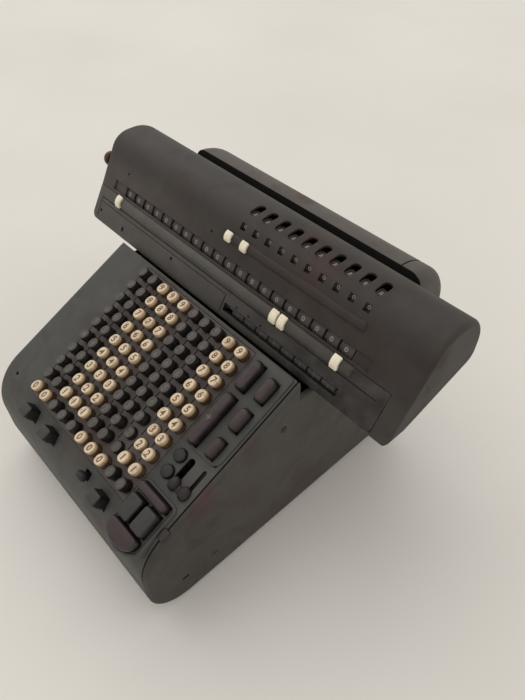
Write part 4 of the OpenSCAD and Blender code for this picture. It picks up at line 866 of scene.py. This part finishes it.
def control_plate():
    """Thin raised plate under the motor keys with one rounded front corner."""
    form = Form(DECK)
    x0, x1, v0, v1 = 80.4, 124.6, 44.8, 142.4
    radii = (3.0, 3.0, 5.0, 9.0)

    def loop(g):
        return rounded((x0 + x1) / 2, (v0 + v1) / 2, (x1 - x0) / 2 + g, (v1 - v0) / 2 + g,
                       [max(0.4, r + g) for r in radii], 8)

    form.loft([level(loop(g), w) for g, w in ((0, 0.02), (0, 1.0), (-0.25, 1.4), (-0.7, 1.6))])
    data = form.mesh("plate")
    cuts = [(x - w / 2 - 1.5, x + w / 2 + 1.5, v - l / 2 - 1.5, v + l / 2 + 1.5, -2, 4)
            for node, x, v, w, l, sign in MOTOR_KEYS]
    data = carve(data, ("DIFFERENCE", boxes(DECK, *cuts)))
    settle("motor_key_plate", data, ["control_plate"], [DECK_PAINT], "body_paint")


# Carriage

SHOULDER, SHOULDER_R = (246.2, 239.4), 25.6
BACK_C, BACK_R = (253.2, 229.0), 36.0
REAR_C, REAR_R = (274.2, 221.0), 15.0
CHIN, BELLY = (183.2, 187.95), (204.2, 183.8)
CAR_X = (-209.6, 214.4)
DIAL_X = [-157.3 + 16 * n for n in range(20)]
DIAL_R = 13.8
LOWER_AXIS, UPPER_AXIS, CHECK_AXIS = face_pt(0, -DIAL_R), face_pt(39.9, -14.5), face_pt(-34.4, -5.0)
CHECK_SLOT = (17.7, 157.7, -38.4, -30.8)
LOWER_RAIL_U, UPPER_RAIL_U = -12.4, 23.6
KNOB_AXIS = (222.6, 236.06)
REAR_SEAM = (128.6, 129.0)


def carriage_loop(i, open_below):
    """Side outline of the carriage, moved inwards by i."""
    low = -62.6 if open_below else -46.0
    rear = arc(REAR_C, REAR_R - i, 0, -73.3, 10)
    under = [(REAR_C[0], rear[-1][1]), (REAR_C[0], CHIN[1] - 15)] if open_below else [BELLY]
    pts = [face_pt(low, 1.6 - i)] + under[::-1] + rear[::-1]
    pts += arc(BACK_C, BACK_R - i, 0, 90, 18) + arc(SHOULDER, SHOULDER_R - i, 90, 147.6, 14)
    return slim(pts, 0.05)


def carriage_end(m):
    return 4.0 + 1.5 * near(m, 0.75, 0.66)


def rail_mesh(u, half, base, foot, run, span):
    """Rounded marker rail on the dial face; run gives (x, height) at one end and is mirrored to the other."""
    form = Form(FACE)
    across = (-1, -0.92, -0.75, -0.5, -0.25, 0, 0.25, 0.5, 0.75, 0.92, 1)
    form.loft([[(x, u + q * half, base + k * math.sqrt(max(0, 1 - q * q)) if abs(q) < 1 else foot)
                for q in across] for x, k in run + [(span - x, k) for x, k in run[::-1]]])
    return form.mesh("rail")


def carriage_cover():
    """Shell of the carriage with its windows, thumb slots and upper rail, open below."""
    outer = tube(carriage_loop(0, False), CAR_X[0], CAR_X[1],
                 lambda m: carriage_end(m) + 6.0 * near(m, -0.86, -0.51) ** 8, carriage_end, 9)
    inner = tube(carriage_loop(2.2, True), CAR_X[0] + 2.4, CAR_X[1] - 2.4, lambda m: carriage_end(m) - 1.0,
                 lambda m: carriage_end(m) - 1.0, 6)
    face_cuts = [(-184.0, 172.8, -4.8, 5.6, -12, 6), CHECK_SLOT + (-8, 6)]
    face_cuts += [(x - 3.3, x + 3.3, 34.4, 41.2, -8, 6) for x in DIAL_X[10:]]
    rebate = boxes(FACE, (-205.2, 198.0, -50.0, -7.6, 0.15, 8))
    blocks = boxes(FACE, (-190.0, -165.2, -9.0, 9.0, -3.4, -0.2), (155.0, 178.0, -9.0, 9.0, -3.4, -0.2))
    shield = boxes(FACE, (17.0, 158.4, -40.6, -39.2, -8.0, 0.0))
    dimples = prisms(FACE, [(oval(x, 18.0, 1.3, 1.3, 16), 0.9, 6) for x in (-167.0, -30.2)])
    slots = prisms(BODY, [(rounded(x, 244.6, 4.3, 8.2, 4.0, 6), 250.0, 270) for x in DIAL_X[10:]])
    wheels, knob_hole = Form(BODY), Form(BODY)
    for form, (y, z), r, n, ends in ((wheels, UPPER_AXIS, 14.1, 64, (-5.3, 154.7)),
                                     (knob_hole, KNOB_AXIS, 3.1, 24, (-215, -200))):
        form.loft([[(x, a, b) for a, b in oval(y, z, r, r, n)] for x in ends])
    rail = rail_mesh(UPPER_RAIL_U, 4.3, 1.4, 0.6, [(-12.8, 0.2), (-12.4, 1.4), (-11.2, 2.0), (-9, 2.2)], 140.8)
    data = carve(outer, ("DIFFERENCE", inner), ("UNION", rail), ("DIFFERENCE", rebate),
                 ("DIFFERENCE", boxes(FACE, *face_cuts)), ("UNION", blocks), ("UNION", shield),
                 ("DIFFERENCE", dimples), ("DIFFERENCE", slots), ("DIFFERENCE", wheels.mesh("wheels")),
                 ("DIFFERENCE", knob_hole.mesh("knob_hole")))
    # Floors of the two dimples are black: painted shade.
    assign(data, FACE, lambda x, u, h: 1 if abs(u - 18) < 1.4 and 0.85 < h < 1.5 and x < -20 else 0)
    weighted(settle("carriage_shell", data, ["carriage_cover"], [CARRIAGE_PAINT, GAP_SHADE], "body_paint", 32))


def front_panel():
    """Panel below the lower dials with its marker rail, grooves, slot and small holes."""
    form = Form(FACE)
    x0, x1, u0, u1 = -204.8, 197.6, -45.0, -8.0

    def loop(g):
        return rounded((x0 + x1) / 2, (u0 + u1) / 2, (x1 - x0) / 2 + g, (u1 - u0) / 2 + g,
                       [max(0.3, r + g) for r in (1.0, 1.0, 7.0, 5.0)], 6)

    form.loft([level(loop(g), h) for g, h in ((0, 0.2), (0, 1.5), (-0.2, 1.85), (-0.5, 2.0))])
    data = form.mesh("panel")
    run = [(-172.8, 0.3), (-172.2, 1.6), (-170.8, 2.2), (-168.0, 2.4)]
    rail = rail_mesh(LOWER_RAIL_U, 5.2, 1.9, 1.2, run, -11.2)
    slot = boxes(FACE, CHECK_SLOT + (-4, 8))
    grooves = boxes(FACE, (-196.0, 190.0, -20.0, -19.0, 1.3, 4), (-196.0, 14.6, -24.4, -23.8, 1.4, 4))
    ends = boxes(FACE, (14.4, 15.3, -41.0, -23.8, 1.35, 4), (-196.6, -195.9, -41.0, -19.0, 1.35, 4))
    holes = prisms(FACE, [(oval(x, -28.2, 1.0, 1.0, 16), 0.9, 4) for x in (32, 48, 64)]
                   + [(oval(-66.6, -29.0, 1.7, 1.7, 20), 0.9, 4), (oval(-192.6, -33.4, 1.6, 1.6, 20), 0.9, 4),
                      (rounded(-149.4, -36.4, 1.6, 2.6, 1.2, 4), 0.9, 4)])
    data = carve(data, ("UNION", rail), ("DIFFERENCE", slot), ("DIFFERENCE", grooves),
                 ("DIFFERENCE", ends), ("DIFFERENCE", holes))

    # Floors and walls of the grooves, slot and holes are black, painted shade; the rail takes the rail paint.
    def choose(x, u, h):
        if 0.4 < h < 1.95 and -44.2 < u < -8.6 and -204.0 < x < 197.0:
            return 1
        return 2 if h > 2.3 else 0

    assign(data, FACE, choose)
    settle("dial_panel", data, ["carriage_front_panel"], [PANEL_PAINT, GAP_SHADE, RAIL_PAINT], "body_paint", 32)


def drum(form, axis, x, r, w, zero, size, groove=0.0, wide=1.22, ring=0.0, shift=0.0):
    """Number drum: rounded rim, side recess and ten digits round it, on the rim or in a groove with finger teeth;
    ring is the width of a low rim on the left."""
    n = 48
    edge = min(0.6, w * 0.08)
    prof = [(-w / 2, r * 0.25), (-w / 2, r * 0.55), (-w / 2 + edge, r * 0.62), (-w / 2 + edge, r * 0.8),
            (-w / 2, r * 0.86), (-w / 2, r - edge), (-w / 2 + edge, r)]
    if groove:
        prof += [(-w / 2 + 1.4, r), (-w / 2 + 1.6, r - groove)]
    prof += [(-a, b) for a, b in prof[::-1]]
    if ring:
        step = -w / 2 + ring
        prof[5:7] = [(-w / 2, r - 1.6), (step, r - 1.6), (step, r - edge), (step + edge, r)]
    form.loft([[(x + a, axis[0] + b * math.cos(2 * math.pi * t / n), axis[1] + b * math.sin(2 * math.pi * t / n))
                for t in range(n)] for a, b in prof])
    high = r - groove + 0.04
    for d in range(10):
        base = zero - d * math.pi / 5

        def spot(a, b, base=base):
            t = base - b * size / r
            return (x + shift + a * size * wide, axis[0] + high * math.cos(t), axis[1] + high * math.sin(t))

        form.sign(str(d), spot, 1)
        if groove:
            side = [base + math.pi / 10 + k * 0.055 for k in (-1.0, -0.55, 0.55, 1.0)]
            tops = (r - groove - 0.3, r - 0.1, r - 0.1, r - groove - 0.3)
            form.loft([[(x + a, axis[0] + b * math.cos(t), axis[1] + b * math.sin(t)) for t, b in zip(side, tops)]
                       for a in (-w / 2 + 1.6, w / 2 - 1.6)])


def dials():
    out = math.pi / 2 + FACE_ANGLE
    form = Form(BODY)
    for x in DIAL_X:
        drum(form, LOWER_AXIS, x, DIAL_R, 14.8, out, 4.4, ring=3.6)
    form.piece("lower_drums", ["lower_dials"], [DIAL, DIGIT_GREY], "dial_black")
    form = Form(BODY)
    for x in DIAL_X[10:]:
        drum(form, UPPER_AXIS, x, DIAL_R, 7.8, out + math.asin(2.0 / DIAL_R), 4.2, 1.3, 1.2, 0.0, -0.5)
    form.piece("upper_drums", ["upper_dials"], [DIAL, DIGIT_WHITE], "dial_black")
    form = Form(BODY)
    for x in DIAL_X[12:]:
        drum(form, CHECK_AXIS, x, 4.5, 14.8, out, 2.4)
    form.piece("check_drums", ["check_dials"], [CHECK, DIGIT_DIM], "dial_black")


def markers():
    """Ivory clips over the rails, thick and rounded."""
    for name, node, xs, u, r, base, proud in (
            ("low_clips", "lower_markers", (-165.6, 73.9, 83.8, 145.3), LOWER_RAIL_U, 7.0, 2.0, 2.4),
            ("high_clips", "upper_markers", (-7.2, 13.9), UPPER_RAIL_U, 5.0, 1.6, 2.0)):
        form = Form(FACE)
        c = base + proud - r
        inside, outside = r + 0.3, r + 2.5
        a0 = max(math.asin((base + 0.3 - c) / inside), math.radians(46))
        for x in xs:
            loops, shade_and_soil_list = [], []
            for g, off in ((0.9, -4.1), (0.3, -3.8), (0.0, -3.2), (0.0, 3.2), (0.3, 3.8), (0.9, 4.1)):
                lo, hi = inside, outside - g
                t0 = a0 + 0.02 + g * 0.03
                up = [math.pi - t0 - (math.pi - 2 * t0) * i / 14 for i in range(15)]
                pts = [(x + off, u + lo * math.cos(t), c + lo * math.sin(t)) for t in up]
                pts += [(x + off, u + (hi - 0.5 * abs(math.cos(t)) ** 6) * math.cos(t), c + hi * math.sin(t))
                        for t in up[::-1]]
                loops.append(pts)
                shade_and_soil_list.append(0.12 if g > 0.5 else 0.0)
            form.loft(loops, shade_and_soil_list)
        form.piece(name, [node], [CLIP], "key_ivory")


def knob():
    form = Form(BODY)
    y, z = KNOB_AXIS
    prof = [(-203.6, 3.0), (-209.7, 3.0), (-209.95, 5.2), (-210.4, 6.4), (-211.6, 7.4), (-213.4, 7.95),
            (-215.2, 7.7), (-216.9, 6.7), (-218.2, 5.0), (-218.95, 2.8), (-219.18, 1.0)]
    form.loft([[(x, y + r * math.cos(-t * math.pi / 16), z + r * math.sin(-t * math.pi / 16)) for t in range(32)]
               for x, r in prof], [1, 1, 0.9, 0.7, 0.4, 0.15, 0.05, 0, 0, 0, 0], 0, (-219.2, y, z))
    form.piece("end_knob", ["clear_knob"], [KNOB], "lever_red")


def rear_covers():
    """Barrel behind the carriage and its right cap, round at the outer ends, flat in front and below."""
    c, r = (289.2, 199.2), 52.2
    loop = slim([(255.0, 110.0), (c[0] + r, 110.0)] + arc(c, r, 0, 90, 40) + [(255.0, c[1] + r)])
    for name, node, x0, x1, r0, r1 in (("rear_barrel", "rear_cover", -150.0, REAR_SEAM[0], 17.0, 1.1),
                                       ("rear_cap", "rear_end_cap", REAR_SEAM[1], 150.6, 1.1, 12.0)):
        data = carve(tube(loop, x0, x1, lambda m: r0, lambda m: r1, 10),
                     ("DIFFERENCE", boxes(BODY, (-170, 170, 240, 292, 90, 270))),
                     ("DIFFERENCE", boxes(BODY, (-170, 170, 240, 360, 90, 150))))
        # The seam face and the flat front face towards the carriage are black: painted shade.
        blacken(data, (1 if x1 == REAR_SEAM[0] else -1, 0, 0))
        assign(data, BODY, lambda x, y, z: 1 if y < 292.5 else 0)
        weighted(settle(name, data, [node], [REAR_PAINT, GAP_SHADE], "body_paint", 32))


keyboard()
control_keys()
levers()
housing()
side_cover()
cluster_pan()
control_plate()
carriage_cover()
front_panel()
dials()
markers()
knob()
rear_covers()
keep("key_plate", PLATE_PAINT)
for cad, mat in (("base_tray", BODY_PAINT), ("rubber_feet", RUBBER), ("left_frame", STEEL),
                 ("right_frame", STEEL), ("key_guide_plate", STEEL), ("carriage_rails", STEEL),
                 ("shaft_bushes", BRASS), ("drive_motor", MOTOR_PAINT), ("power_inlet", INLET),
                 ("motor_pinion", BRASS), ("drum_shaft", STEEL), ("shift_pinion", BRASS),
                 ("carriage_frame", STEEL), ("dial_shafts", STEEL)):
    keep(cad, mat)

# Floor and light
floor_mesh = bpy.data.meshes.new("floor")
floor_mesh.from_pydata([(-6, -6, 0), (6, -6, 0), (6, 6, 0), (-6, 6, 0)], [], [(0, 1, 2, 3)])
floor = bpy.data.objects.new("floor", floor_mesh)
bpy.context.scene.collection.objects.link(floor)
p = Paint("floor_paint")
pale = p.ramp(p.noise(2.2, 4, 0.5), (0.3, rgb(219, 214, 207)), (0.7, rgb(226, 222, 215)))
floor_mesh.materials.append(p.done(pale, 0.75))

world = bpy.data.worlds.new("studio")
world.use_nodes = True
bpy.context.scene.world = world
sky = world.node_tree.nodes["Background"]
sky.inputs["Color"].default_value = (1.0, 0.985, 0.955, 1.0)
sky.inputs["Strength"].default_value = 0.78

sun = bpy.data.objects.new("window", bpy.data.lights.new("window", "SUN"))
sun.data.energy = 0.85
sun.data.angle = math.radians(70)
sun.data.color = (1.0, 0.985, 0.96)
sun.rotation_euler = Vector((1.5, -0.3, -1.7)).to_track_quat("-Z", "Y").to_euler()
bpy.context.scene.collection.objects.link(sun)
